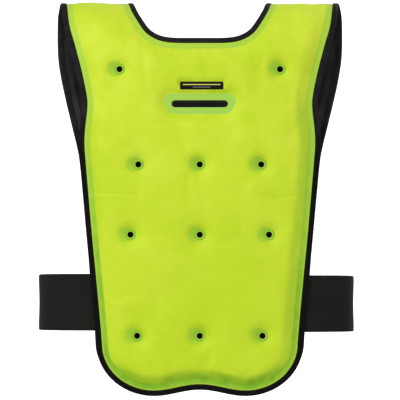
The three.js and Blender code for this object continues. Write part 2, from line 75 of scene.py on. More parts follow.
def spline_through(knots: np.ndarray, per_span: int) -> np.ndarray:
    """A smooth line through knots.

    Each span is the cubic that meets its two knots with slopes of half the step between their
    neighbours, the uniform Catmull-Rom form.

    Args:
        knots: the knots in order, one a row.
        per_span: how many points each span gets.

    Returns:
        The points of the line, one a row, with both end knots among them.
    """
    before = np.vstack([knots[:1], knots[:-2]])
    start, end = knots[:-1], knots[1:]
    after = np.vstack([knots[2:], knots[-1:]])
    slope_in, slope_out = (end - before) / 2, (after - start) / 2
    t = (np.arange(per_span) / per_span)[None, :, None]
    start, end, slope_in, slope_out = (a[:, None, :] for a in (start, end, slope_in, slope_out))
    line = (
        (2 * start - 2 * end + slope_in + slope_out) * t**3
        + (3 * end - 3 * start - 2 * slope_in - slope_out) * t**2
        + slope_in * t
        + start
    )
    return np.vstack([line.reshape(-1, 2), knots[-1:]])


def spaced(line: np.ndarray, step: float) -> np.ndarray:
    """A line divided again into even lengths of about one step, with both its ends kept.

    Args:
        line: the points, one a row.
        step: the length wanted between two points.

    Returns:
        The new points, one a row.
    """
    along = np.concatenate([[0.0], np.cumsum(np.linalg.norm(np.diff(line, axis=0), axis=1))])
    marks = np.linspace(0.0, along[-1], max(3, round(along[-1] / step) + 1))
    return np.stack([np.interp(marks, along, line[:, k]) for k in range(line.shape[1])], axis=1)


def inset(line: np.ndarray, distance: float) -> np.ndarray:
    """A line moved to its left by a distance. Its two ends move across only, so they stay on the seam.

    Args:
        line: the points on the body sheet, one a row.
        distance: how far the line moves.

    Returns:
        The moved points, one a row.
    """
    step = np.vstack([line[1:2] - line[:1], line[2:] - line[:-2], line[-1:] - line[-2:-1]])
    left = np.stack([-step[:, 1], step[:, 0]], axis=1)
    left /= np.linalg.norm(left, axis=1, keepdims=True)
    left[[0, -1]] = np.stack([np.sign(left[[0, -1], 0]), np.zeros(2)], axis=1)
    return line + left * distance


def mirrored(line: np.ndarray) -> np.ndarray:
    """A line with left and right exchanged."""
    return line * np.array([-1.0, 1.0])


def nearest(points: np.ndarray, others: np.ndarray) -> np.ndarray:
    """The distance from each point to the nearest of the others."""
    parts = [points[i : i + CHUNK] for i in range(0, len(points), CHUNK)]
    return np.concatenate([np.sqrt(((p[:, None] - others[None]) ** 2).sum(2).min(1)) for p in parts])


def from_segments(
    points: np.ndarray, starts: np.ndarray, ends: np.ndarray, take: float | np.ndarray
) -> np.ndarray:
    """The least distance from each point to a set of segments, less what is taken off at each.

    Args:
        points: the points, one a row.
        starts: one end of each segment.
        ends: the other end of each segment.
        take: what is taken off the distance to a segment, for all or for each.

    Returns:
        One distance for each point.
    """
    line = ends - starts
    length = np.maximum((line**2).sum(1), 1e-9)
    found = []
    for i in range(0, len(points), CHUNK):
        p = points[i : i + CHUNK, None]
        share = limited(((p - starts) * line).sum(2) / length)
        found.append((np.linalg.norm(p - starts - share[..., None] * line, axis=2) - take).min(1))
    return np.concatenate(found)


def is_inside(loop: np.ndarray, points: np.ndarray) -> np.ndarray:
    """Which points lie inside a closed loop, by counting the loop's crossings to one side of each.

    Args:
        loop: the loop's points, one a row.
        points: the points to test, one a row.

    Returns:
        True for each point inside.
    """
    a, b = loop, np.roll(loop, -1, axis=0)
    rise = np.where(b[:, 1] == a[:, 1], 1.0, b[:, 1] - a[:, 1])
    found = []
    for i in range(0, len(points), CHUNK):
        x, y = points[i : i + CHUNK, :1], points[i : i + CHUNK, 1:]
        crosses = (a[:, 1] > y) != (b[:, 1] > y)
        left_of = x < a[:, 0] + (b[:, 0] - a[:, 0]) * (y - a[:, 1]) / rise
        found.append((crosses & left_of).sum(1) % 2 == 1)
    return np.concatenate(found)


def ring(centre: np.ndarray, radius: float, sides: int, phase: float = 0.0) -> np.ndarray:
    """Points evenly round a circle."""
    turn = 2 * np.pi * (np.arange(sides) + phase) / sides
    return centre + radius * np.stack([np.cos(turn), np.sin(turn)], axis=1)


def soft_rise(distance: np.ndarray, reach: float, power: float) -> np.ndarray:
    """A rise from 0 at a weld to 1 at its reach: 1 - (1 - t)^power, nearly straight at a power near 1."""
    return 1 - (1 - limited(distance / reach)) ** power


def soft_noise(points: np.ndarray, waves: int, longest: float, seed: int) -> np.ndarray:
    """A soft uneven height between about -1 and 1: the mean of sine waves in seeded directions.

    Args:
        points: the points on the body sheet, one a row.
        waves: how many sine waves are added.
        longest: the longest wave; the others are down to a third of it.
        seed: the number that the directions and phases come from.

    Returns:
        One height for each point.
    """
    draw = np.random.default_rng(seed)
    turn, phase = draw.uniform(0, 2 * np.pi, (2, waves))
    length = longest * draw.uniform(0.33, 1, waves)
    along = points @ np.stack([np.cos(turn), np.sin(turn)])
    return np.sin(2 * np.pi * along / length + phase).sum(1) / math.sqrt(waves)


# The body sheet and the panels' cut


@dataclass(frozen=True)
class BodySheet:
    """The bent sheet that every layer lies on.

    A point is named by x, across the vest, and run, the length along the sheet from the crest,
    below 0 on the back panel. Every layer is a height above the sheet, away from the wearer.
    """

    length: float = 626.0
    chest_depth: float = 85.0
    hem_depth: float = 78.0
    shoulder_drop: float = 100.0
    left_reach: float = 260.0
    right_reach: float = 249.0
    section_power: float = 3.0
    past_hem: float = 32.0
    steps: int = 1500

    def middle_line(self) -> tuple[np.ndarray, np.ndarray, np.ndarray]:
        """The middle line from the crest down: a quarter ellipse, then a line that draws in as a square.

        Returns:
            The run, depth and drop of its points.
        """
        turn = np.linspace(0, np.pi / 2, self.steps)
        share = np.linspace(0, 1, self.steps)[1:]
        end = self.length + self.past_hem
        drawn_in = self.chest_depth - (self.chest_depth - self.hem_depth) * share**2
        down = self.shoulder_drop + (end - self.shoulder_drop) * share
        depth = np.concatenate([self.chest_depth * np.sin(turn), drawn_in])
        drop = np.concatenate([self.shoulder_drop * (1 - np.cos(turn)), down])
        run = np.concatenate([[0.0], np.cumsum(np.hypot(np.diff(depth), np.diff(drop)))])
        return run, depth, drop

    def run_of(self, drop: float | np.ndarray) -> np.ndarray:
        """The run at a drop below the crest."""
        run, _, drops = self.middle_line()
        return np.interp(drop, drops, run)

    def drop_of(self, run: float | np.ndarray) -> np.ndarray:
        """The drop below the crest at a run, on either panel."""
        runs, _, drop = self.middle_line()
        return np.interp(np.abs(run), runs, drop)

    def depth_at(self, drop: float | np.ndarray) -> np.ndarray:
        """How far the middle line stands from the middle plane at a drop."""
        _, depth, drops = self.middle_line()
        return np.interp(drop, drops, depth)

    def on_sheet(self, x: np.ndarray, run: np.ndarray) -> np.ndarray:
        """Points of the sheet: the middle line's depth, drawn back towards the sides as a superellipse.

        Args:
            x: the places across.
            run: the lengths from the crest.

        Returns:
            The points in space, one a row.
        """
        runs, depths, drops = self.middle_line()
        reach = np.where(x < 0, self.left_reach, self.right_reach)
        share = np.maximum(0, 1 - (np.abs(x) / reach) ** self.section_power) ** (1 / self.section_power)
        depth = np.interp(np.abs(run), runs, depths)
        return np.stack([x, np.sign(run) * depth * share, -np.interp(np.abs(run), runs, drops)], axis=-1)

    def place(self, x: np.ndarray, run: np.ndarray, height: float | np.ndarray) -> np.ndarray:
        """The place of points at a height above the sheet, along the cross product of its two slopes.

        Args:
            x: the places across.
            run: the lengths from the crest.
            height: the heights above the sheet.

        Returns:
            The points in space, one a row.
        """
        nudge = 0.5
        across = self.on_sheet(x + nudge, run) - self.on_sheet(x - nudge, run)
        along = self.on_sheet(x, run + nudge) - self.on_sheet(x, run - nudge)
        normal = np.cross(across, along)
        normal /= np.linalg.norm(normal, axis=-1, keepdims=True)
        return self.on_sheet(x, run) + normal * np.broadcast_to(height, x.shape)[..., None]


@dataclass(frozen=True)
class Layers:
    """The thicknesses of a panel's layers and the widths of its edge, in millimetres."""

    clearance: float = 0.3
    lining_wall: float = 1.0
    weld: float = 1.6
    puff: float = 10.0
    shoulder_puff: float = 1.4
    binding_width: float = 8.0
    binding_wall: float = 0.8
    flange_width: float = 3.0
    weld_width: float = 6.0
    edge_rise: float = 23.0
    edge_power: float = 1.5
    weld_power: float = 1.7

    @property
    def chamber_low(self) -> float:
        """The height of the chamber's inner film."""
        return self.lining_wall + self.clearance

    @property
    def binding_high(self) -> float:
        """The height of the binding's outer face."""
        return self.chamber_low + self.weld + self.clearance + self.binding_wall

    @property
    def binding_low(self) -> float:
        """The height of the binding's inner face."""
        return -self.clearance - self.binding_wall

    @property
    def cut_inset(self) -> float:
        """How far the film and the lining stop short of the binding's outer edge."""
        return self.binding_wall + self.clearance

    @property
    def weld_zone(self) -> float:
        """The width of the flat edge of the chamber, from the binding's lip."""
        return self.flange_width + self.weld_width


@dataclass(frozen=True)
class Cut:
    """The sizes of the vest's cut that both panels share, in millimetres."""

    seam_half: float = 226.5
    seam_behind_crest: float = 30.0
    hem_corner_rise: float = 83.0
    hem_lobe_half: float = 73.0
    hem_notch_rise: float = 10.0
    neck_half: float = 107.0
    neck_seam_half: float = 105.0
    eyelet_unit: float = 224.0
    eyelet_hole: float = 4.9
    eyelet_weld: float = 9.5
    eyelet_rise: float = 17.0
    eyelet_sides: int = 28
    field_width: float = 122.0
    field_height: float = 34.5
    field_taper: float = 7.0
    field_rise: float = 18.0
    slot_length: float = 90.0
    slot_height: float = 11.0
    tag_width: float = 69.0
    tag_height: float = 12.5
    tag_drop: float = 124.0
    tag_shift: float = 3.0
    tag_seat: float = 6.0
    tag_blend: float = 6.0
    field_below_tag: float = 5.5
    neck_rows: tuple[tuple[float, float], ...] = (
        (0, 1),
        (0.13, 0.957),
        (0.31, 0.907),
        (0.484, 0.85),
        (0.66, 0.787),
        (0.765, 0.738),
        (0.86, 0.668),
        (0.94, 0.572),
        (0.985, 0.45),
        (1, 0.28),
        (1, 0),
    )
    eyelet_rows: tuple[tuple[float, float, bool], ...] = (
        (0.166, 0.571, False),
        (0.409, 0.437, True),
        (0.588, 0.493, True),
        (0.846, 0.446, True),
    )


@dataclass(frozen=True)
class Fold:
    """A soft fold along a straight line: its ends across and down in millimetres, depth and width."""

    from_x: float
    from_drop: float
    to_x: float
    to_drop: float
    depth: float
    width: float

    def ends(self, sheet: BodySheet) -> np.ndarray:
        """The fold's two ends on the body sheet, one a row."""
        runs = -sheet.run_of(np.array([self.from_drop, self.to_drop]))
        return np.array([[self.from_x, runs[0]], [self.to_x, runs[1]]])


def lift_of(folds: tuple[Fold, ...], sheet: BodySheet, points: np.ndarray) -> np.ndarray:
    """What folds add to the height of points: the sum of bell curves of the distance from each line.

    Args:
        folds: the folds.
        sheet: the body sheet that they lie on.
        points: the points on the sheet, one a row.

    Returns:
        One height for each point.
    """
    lift = np.zeros(len(points))
    for fold in folds:
        ends = fold.ends(sheet)
        away = from_segments(points, ends[:1], ends[1:], 0.0) / fold.width
        lift += fold.depth * np.exp(-(away**2))
    return lift


class Side(Enum):
    """The panel that a piece belongs to, with the turn that brings it into place."""

    BACK = 1
    FRONT = -1


@dataclass
class Panel:
    """The cut of one panel on the body sheet, with its edges, welds and folds.

    Its x and run are the panel's own, with the hem below. The front panel's are turned by half a turn.
    """

    side: Side
    shoulder_half: float
    hem_half: float
    neck_drop: float
    side_rows: tuple[tuple[float, float], ...]
    has_field: bool
    folds: tuple[Fold, ...] = ()
    sheet: BodySheet = BodySheet()
    layers: Layers = Layers()
    cut: Cut = Cut()
    rim_step: float = 4.0
    crease_share: float = 1.7
    outer: np.ndarray = field(init=False)
    collar: np.ndarray = field(init=False)
    rim: np.ndarray = field(init=False)
    taken: np.ndarray = field(init=False)

    def __post_init__(self) -> None:
        """Works out the outer edge, the neck edge and the loop that the film is cut to."""
        seam = self.seam_run()
        half, neck = self.half_outline(seam), self.half_neck(seam)
        self.outer = spaced(np.vstack([mirrored(half), half[::-1][1:]]), self.rim_step)
        self.collar = spaced(np.vstack([neck, mirrored(neck)[::-1][1:]]), self.rim_step)
        parts = self.rim_parts()
        self.rim = np.vstack(parts)
        bound = np.concatenate([np.full(len(p), k % 2 == 0) for k, p in enumerate(parts)])
        starts_bound = bound & np.roll(bound, -1)
        hidden = self.layers.binding_width - self.layers.cut_inset
        self.taken = np.where(starts_bound, hidden, 0.0)

    @property
    def turn(self) -> int:
        """1 for the back panel and -1 for the front one."""
        return self.side.value

    def seam_run(self) -> float:
        """The run of the panel's shoulder seam."""
        return self.turn * self.cut.seam_behind_crest - self.layers.clearance / 2

    def half_outline(self, seam: float) -> np.ndarray:
        """Half the outer edge: a spline down the side, a quarter ellipse, and a raised cosine at the notch.

        Args:
            seam: the run of the shoulder seam.

        Returns:
            The points from the seam down to the middle of the hem.
        """
        cut, length = self.cut, self.sheet.length
        rows = np.array(self.side_rows)
        knots = np.stack([rows[:, 1] * self.shoulder_half, -self.sheet.run_of(rows[:, 0] * length)], axis=1)
        corner = length - cut.hem_corner_rise
        ends = [[cut.seam_half, seam]], [[self.hem_half, -float(self.sheet.run_of(corner))]]
        line = spline_through(np.vstack([ends[0], knots, ends[1]]), 40)
        turn = np.linspace(0, np.pi / 2, 41)[1:]
        x = cut.hem_lobe_half + (self.hem_half - cut.hem_lobe_half) * np.cos(turn)
        lobe = np.stack([x, -self.sheet.run_of(corner + cut.hem_corner_rise * np.sin(turn))], axis=1)
        x = cut.hem_lobe_half * (1 - np.linspace(0, 1, 41)[1:])
        lift = cut.hem_notch_rise * (1 + np.cos(np.pi * x / cut.hem_lobe_half)) / 2
        return np.vstack([line, lobe, np.stack([x, -self.sheet.run_of(length - lift)], axis=1)])

    def half_neck(self, seam: float) -> np.ndarray:
        """Half the neck edge: a spline whose knots are shares of the neck's drop and half width.

        Args:
            seam: the run of the shoulder seam.

        Returns:
            The points from the seam down to the middle of the neck.
        """
        rows = np.array(self.cut.neck_rows)
        runs = -self.sheet.run_of(rows[:, 0] * self.neck_drop)
        line = spline_through(np.stack([rows[:, 1] * self.cut.neck_half, runs], axis=1), 40)
        return np.vstack([[[self.cut.neck_seam_half, seam]], line[line[:, 1] < seam]])

    def rim_parts(self) -> list[np.ndarray]:
        """The loop that the film is cut to, as the outer edge, a seam, the neck edge and the other seam."""
        outer, collar = (inset(line, self.layers.cut_inset) for line in (self.outer, self.collar))
        joints = (outer[-1], collar[0]), (collar[-1], outer[0])
        seams = [spaced(np.vstack(pair), self.rim_step)[1:-1] for pair in joints]
        return [outer, seams[0], collar, seams[1]]

    def lip_distance(self, points: np.ndarray) -> np.ndarray:
        """How far points lie inside the lips of the bindings and the seam."""
        return from_segments(points, self.rim, np.roll(self.rim, -1, axis=0), self.taken)

    def eyelets(self) -> np.ndarray:
        """The middles of the round welds, one a row."""
        places = [
            (place * off, drop)
            for drop, off, has_middle in self.cut.eyelet_rows
            for place in ((-1, 0, 1) if has_middle else (-1, 1))
        ]
        at = np.array(places) * np.array([self.cut.eyelet_unit, self.sheet.length])
        return np.stack([at[:, 0], -self.sheet.run_of(at[:, 1])], axis=1)

    def field_centre(self) -> np.ndarray:
        """The middle of the welded field."""
        cut = self.cut
        drop = cut.tag_drop + cut.tag_height + cut.field_below_tag + cut.field_height / 2
        return np.array([0.0, -float(self.sheet.run_of(drop))])

    def tag_centre(self) -> np.ndarray:
        """The middle of the tag."""
        cut = self.cut
        return np.array([cut.tag_shift, -float(self.sheet.run_of(cut.tag_drop + cut.tag_height / 2))])

    def field_distance(self, points: np.ndarray) -> np.ndarray:
        """How far points lie outside the welded field: a round-ended bar that narrows downwards."""
        cut, at = self.cut, points - self.field_centre()
        radius = cut.field_height / 2
        down = limited((radius - at[:, 1]) / cut.field_height)
        half = cut.field_width / 2 - cut.field_taper * down - radius
        return np.hypot(np.maximum(0, np.abs(at[:, 0]) - half), at[:, 1]) - radius

    def field_loop(self, margin: float, step: float) -> np.ndarray:
        """The loop at a margin outside the welded field.

        Args:
            margin: how far the loop lies outside the field.
            step: the length between two points.

        Returns:
            The loop's points, one a row.
        """
        cut, radius = self.cut, self.cut.field_height / 2 + margin
        turn = np.linspace(np.pi / 2, -np.pi / 2, 61)
        y = radius * np.sin(turn)
        down = limited((cut.field_height / 2 - y) / cut.field_height)
        x = cut.field_width / 2 - cut.field_taper * down - cut.field_height / 2 + radius * np.cos(turn)
        half = np.stack([x, y], axis=1)
        loop = spaced(np.vstack([half, mirrored(half)[::-1], half[:1]]), step)[:-1]
        return loop + self.field_centre()

    def slot_loop(self, margin: float, step: float) -> np.ndarray:
        """The loop at a margin outside the round-ended slot.

        Args:
            margin: how far the loop lies outside the slot.
            step: the length between two points.

        Returns:
            The loop's points, one a row.
        """
        radius = self.cut.slot_height / 2 + margin
        turn = np.linspace(np.pi / 2, -np.pi / 2, 41)
        x = self.cut.slot_length / 2 - self.cut.slot_height / 2 + radius * np.cos(turn)
        half = np.stack([x, radius * np.sin(turn)], axis=1)
        return spaced(np.vstack([half, mirrored(half)[::-1], half[:1]]), step)[:-1] + self.field_centre()

    def tag_distance(self, points: np.ndarray) -> np.ndarray:
        """How far points lie outside the seat of the tag."""
        away = np.abs(points - self.tag_centre()) - np.array([self.cut.tag_width, self.cut.tag_height]) / 2
        return np.linalg.norm(np.maximum(0, away), axis=1)

    def crease_lift(self, points: np.ndarray) -> np.ndarray:
        """What the film's own creases add to the height, in soft plates with a valley between them.

        A slow noise is the map: its level line is the crease, where a bell curve of the noise cuts the
        valley, and the S curve of the noise sets the plates beside it. A second noise fades them.

        Args:
            points: the points on the body sheet, one a row.

        Returns:
            One height for each point.
        """
        lift = np.zeros(len(points))
        for seed, longest, height in ((11, 330.0, 1.0), (23, 210.0, 0.7), (37, 150.0, 0.45)):
            level = soft_noise(points, 9, longest, seed)
            seen = eased(soft_noise(points, 7, longest, seed + 1) + 0.35)
            lift += height * seen * (0.8 * np.tanh(2.2 * level) - 0.8 * np.exp(-((level / 0.16) ** 2)))
        return lift

    def thickness(self, points: np.ndarray) -> np.ndarray:
        """The chamber's thickness: thin at every weld and full between them.

        The fullness is the product of the soft rises from the edge, the eyelets and the field. It is
        less over the shoulder, follows the folds, and is even under the tag.

        Args:
            points: the points on the body sheet, one a row.

        Returns:
            One thickness for each point.
        """
        cut, layers = self.cut, self.layers
        full = soft_rise(self.lip_distance(points) - layers.weld_zone, layers.edge_rise, layers.edge_power)
        for eyelet in self.eyelets():
            away = np.linalg.norm(points - eyelet, axis=1)
            full *= soft_rise(away - cut.eyelet_weld, cut.eyelet_rise, layers.weld_power)
        if self.has_field:
            full *= soft_rise(self.field_distance(points), cut.field_rise, layers.weld_power)
        bent = limited(1 - np.abs(points[:, 1]) / self.sheet.run_of(self.sheet.shoulder_drop))
        puff = layers.puff + (layers.shoulder_puff - layers.puff) * bent
        creased = lift_of(self.folds, self.sheet, points) + self.crease_lift(points) * self.crease_share
        free = full * (puff + creased)
        if not self.has_field:
            return layers.weld + free
        share = limited(self.tag_distance(points) / cut.tag_blend)
        return layers.weld + cut.tag_seat + (free - cut.tag_seat) * share

    def put(self, points: np.ndarray, height: float | np.ndarray) -> np.ndarray:
        """The place in space of the panel's points at a height above the sheet."""
        return self.sheet.place(self.turn * points[:, 0], self.turn * points[:, 1], height)


# Nets and meshes


@dataclass
class Surface:
    """A surface before it goes into a mesh.

    Its corners are in millimetres. cloth is where each corner lies on the flat cloth, and notes are
    the numbers that a finish reads at each corner.
    """

    corners: np.ndarray
    faces: list[np.ndarray]
    cloth: np.ndarray
    notes: dict[str, np.ndarray] = field(default_factory=dict)
    sharp_from: float = 55.0


def joined(parts: list[Surface]) -> Surface:
    """Several surfaces as one, their faces counted on from one to the next."""
    starts = np.cumsum([0] + [len(p.corners) for p in parts[:-1]])
    faces = [f + start for part, start in zip(parts, starts) for f in part.faces]
    notes = {k: np.concatenate([p.notes[k] for p in parts]) for k in parts[0].notes}
    return Surface(np.vstack([p.corners for p in parts]), faces, np.vstack([p.cloth for p in parts]), notes)


def piece_from(name: str, surface: Surface, finish: "Finish") -> bpy.types.Object:
    """Puts a surface into a new object at the origin, with its faces turned out.

    Args:
        name: the piece's name.
        surface: the surface, in millimetres.
        finish: what the piece is made of.

    Returns:
        The new object.
    """
    mesh = bpy.data.meshes.new(name)
    faces = [face for block in surface.faces for face in block.tolist()]
    mesh.from_pydata((surface.corners * METRES).tolist(), [], faces)
    work = bmesh.new()
    work.from_mesh(mesh)
    bmesh.ops.recalc_face_normals(work, faces=work.faces)
    work.to_mesh(mesh)
    work.free()
    corner_of = np.zeros(len(mesh.loops), np.int32)
    mesh.loops.foreach_get("vertex_index", corner_of)
    mesh.uv_layers.new(name="cloth").data.foreach_set("uv", (surface.cloth[corner_of] * METRES).ravel())
    for key, values in surface.notes.items():
        mesh.attributes.new(key, "FLOAT", "POINT").data.foreach_set("value", values.astype(np.float32))
    mesh.shade_smooth()
    mesh.set_sharp_from_angle(angle=math.radians(surface.sharp_from))
    mesh.materials.append(finish.material())
    piece = bpy.data.objects.new(name, mesh)
    bpy.context.scene.collection.objects.link(piece)
    return piece


def loop_edges(loops: list[np.ndarray]) -> np.ndarray:
    """The pairs of corners along closed loops whose points are numbered one loop after another."""
    ends = np.cumsum([0] + [len(loop) for loop in loops])
    pairs = [np.stack([np.arange(a, b), np.r_[a + 1 : b, a]], axis=1) for a, b in zip(ends, ends[1:])]
    return np.vstack(pairs)


def walls(loops: list[np.ndarray], count: int) -> np.ndarray:
    """The faces between the loops of an upper net and those of a lower net that starts at a count."""
    edges = loop_edges(loops)
    return np.concatenate([edges, edges[:, ::-1] + count], axis=1)


def net_over(loops: list[np.ndarray], inner: np.ndarray) -> tuple[np.ndarray, np.ndarray]:
    """Triangles over the inside of a loop and the outside of the holes that follow it.

    Args:
        loops: the outer loop first, then the holes.
        inner: the points between them.

    Returns:
        The points, the loops' first and in their order, and the triangles' corners.
    """
    points = np.vstack([*loops, inner])
    corners = [Vector(p) for p in points.tolist()]
    found = delaunay_2d_cdt(corners, loop_edges(loops).tolist(), [], 0, 1e-4)
    if len(found[0]) != len(points):
        raise ValueError(f"the net has {len(found[0])} points instead of {len(points)}")
    triangles = np.array(found[2])
    middles = points[triangles].mean(1)
    kept = is_inside(loops[0], middles)
    for hole in loops[1:]:
        kept &= ~is_inside(hole, middles)
    return points, triangles[kept]


def even_points(low: np.ndarray, high: np.ndarray, spacing: float) -> np.ndarray:
    """Points of even triangles over a box: every other row is moved by half a spacing."""
    rows = np.arange(low[1], high[1], spacing * math.sin(math.pi / 3))
    columns = np.arange(low[0], high[0], spacing)
    x = columns[None, :] + np.where(np.arange(len(rows)) % 2, spacing / 2, 0)[:, None]
    return np.stack([x, np.broadcast_to(rows[:, None], x.shape)], axis=2).reshape(-1, 2)


def carried(rings: np.ndarray, cloth: np.ndarray, is_ring: bool) -> Surface:
    """A closed section carried along a path, with flat ends where the path is open.

    Args:
        rings: the section's corners at each station, as stations by corners by 3.
        cloth: where each corner lies on the flat cloth, as stations by corners by 2.
        is_ring: whether the last station joins the first.

    Returns:
        The surface.
    """
    stations, size = rings.shape[:2]
    i = np.arange(stations if is_ring else stations - 1)[:, None]
    k = np.arange(size)[None, :]
    here, there = i * size, (i + 1) % stations * size
    beside = (k + 1) % size
    faces = [np.stack([here + k, there + k, there + beside, here + beside], axis=2).reshape(-1, 4)]
    if not is_ring:
        half = size // 2
        pairs = np.arange(half - 1)
        cap = np.stack([pairs, pairs + 1, size - 2 - pairs, size - 1 - pairs], axis=1)
        faces += [cap, cap + (stations - 1) * size]
    return Surface(rings.reshape(-1, 3), faces, cloth.reshape(-1, 2))


def thread_row(
    middles: np.ndarray, along: np.ndarray, up: np.ndarray, length: float, width: float
) -> Surface:
    """A row of stitches: each is a rod whose radius is the root of 1 - t^4 along its length.

    Args:
        middles: the middle of each stitch.
        along: the direction of each stitch.
        up: the direction away from the cloth at each stitch.
        length: the length of a stitch.
        width: the width of a stitch.

    Returns:
        All the stitches as one surface.
    """
    t = np.array([-1.0, -0.8, 0.0, 0.8, 1.0])
    swell = np.sqrt(np.maximum(0.02, 1 - t**4))
    turn = 2 * np.pi * np.arange(6) / 6
    along = along / np.linalg.norm(along, axis=1, keepdims=True)
    up = up / np.linalg.norm(up, axis=1, keepdims=True)
    beside = np.cross(along, up)
    shape = np.stack(
        np.broadcast_arrays(
            (t * length / 2)[:, None],
            swell[:, None] * np.cos(turn) * width / 2,
            swell[:, None] * np.sin(turn) * width / 3,
        ),
        axis=2,
    ).reshape(-1, 3)
    frames = np.stack([along, beside, up], axis=1)
    corners = middles[:, None] + shape[None] @ frames
    count = len(shape)
    i, k = np.arange(4)[:, None] * 6, np.arange(6)[None, :]
    sides = np.stack([i + k, i + (k + 1) % 6, i + 6 + (k + 1) % 6, i + 6 + k], axis=2).reshape(-1, 4)
    ends = np.array([[5, 4, 3, 2, 1, 0], [24, 25, 26, 27, 28, 29]])
    starts = (np.arange(len(middles)) * count)[:, None, None]
    faces = [(sides[None] + starts).reshape(-1, 4), (ends[None] + starts).reshape(-1, 6)]
    moved = np.repeat(np.arange(len(middles)) * length, count)[:, None]
    return Surface(corners.reshape(-1, 3), faces, np.tile(shape[:, :2], (len(middles), 1)) + moved)


# Finishes


def screen(red: float, green: float, blue: float) -> tuple[float, float, float, float]:
    """A colour as the screen shows it, from 0 to 255, in the linear light that a shader takes."""
    parts = [((c / 255 + 0.055) / 1.055) ** 2.4 if c > 10 else c / 255 / 12.92 for c in (red, green, blue)]
    return parts[0], parts[1], parts[2], 1.0


Socket = bpy.types.NodeSocket


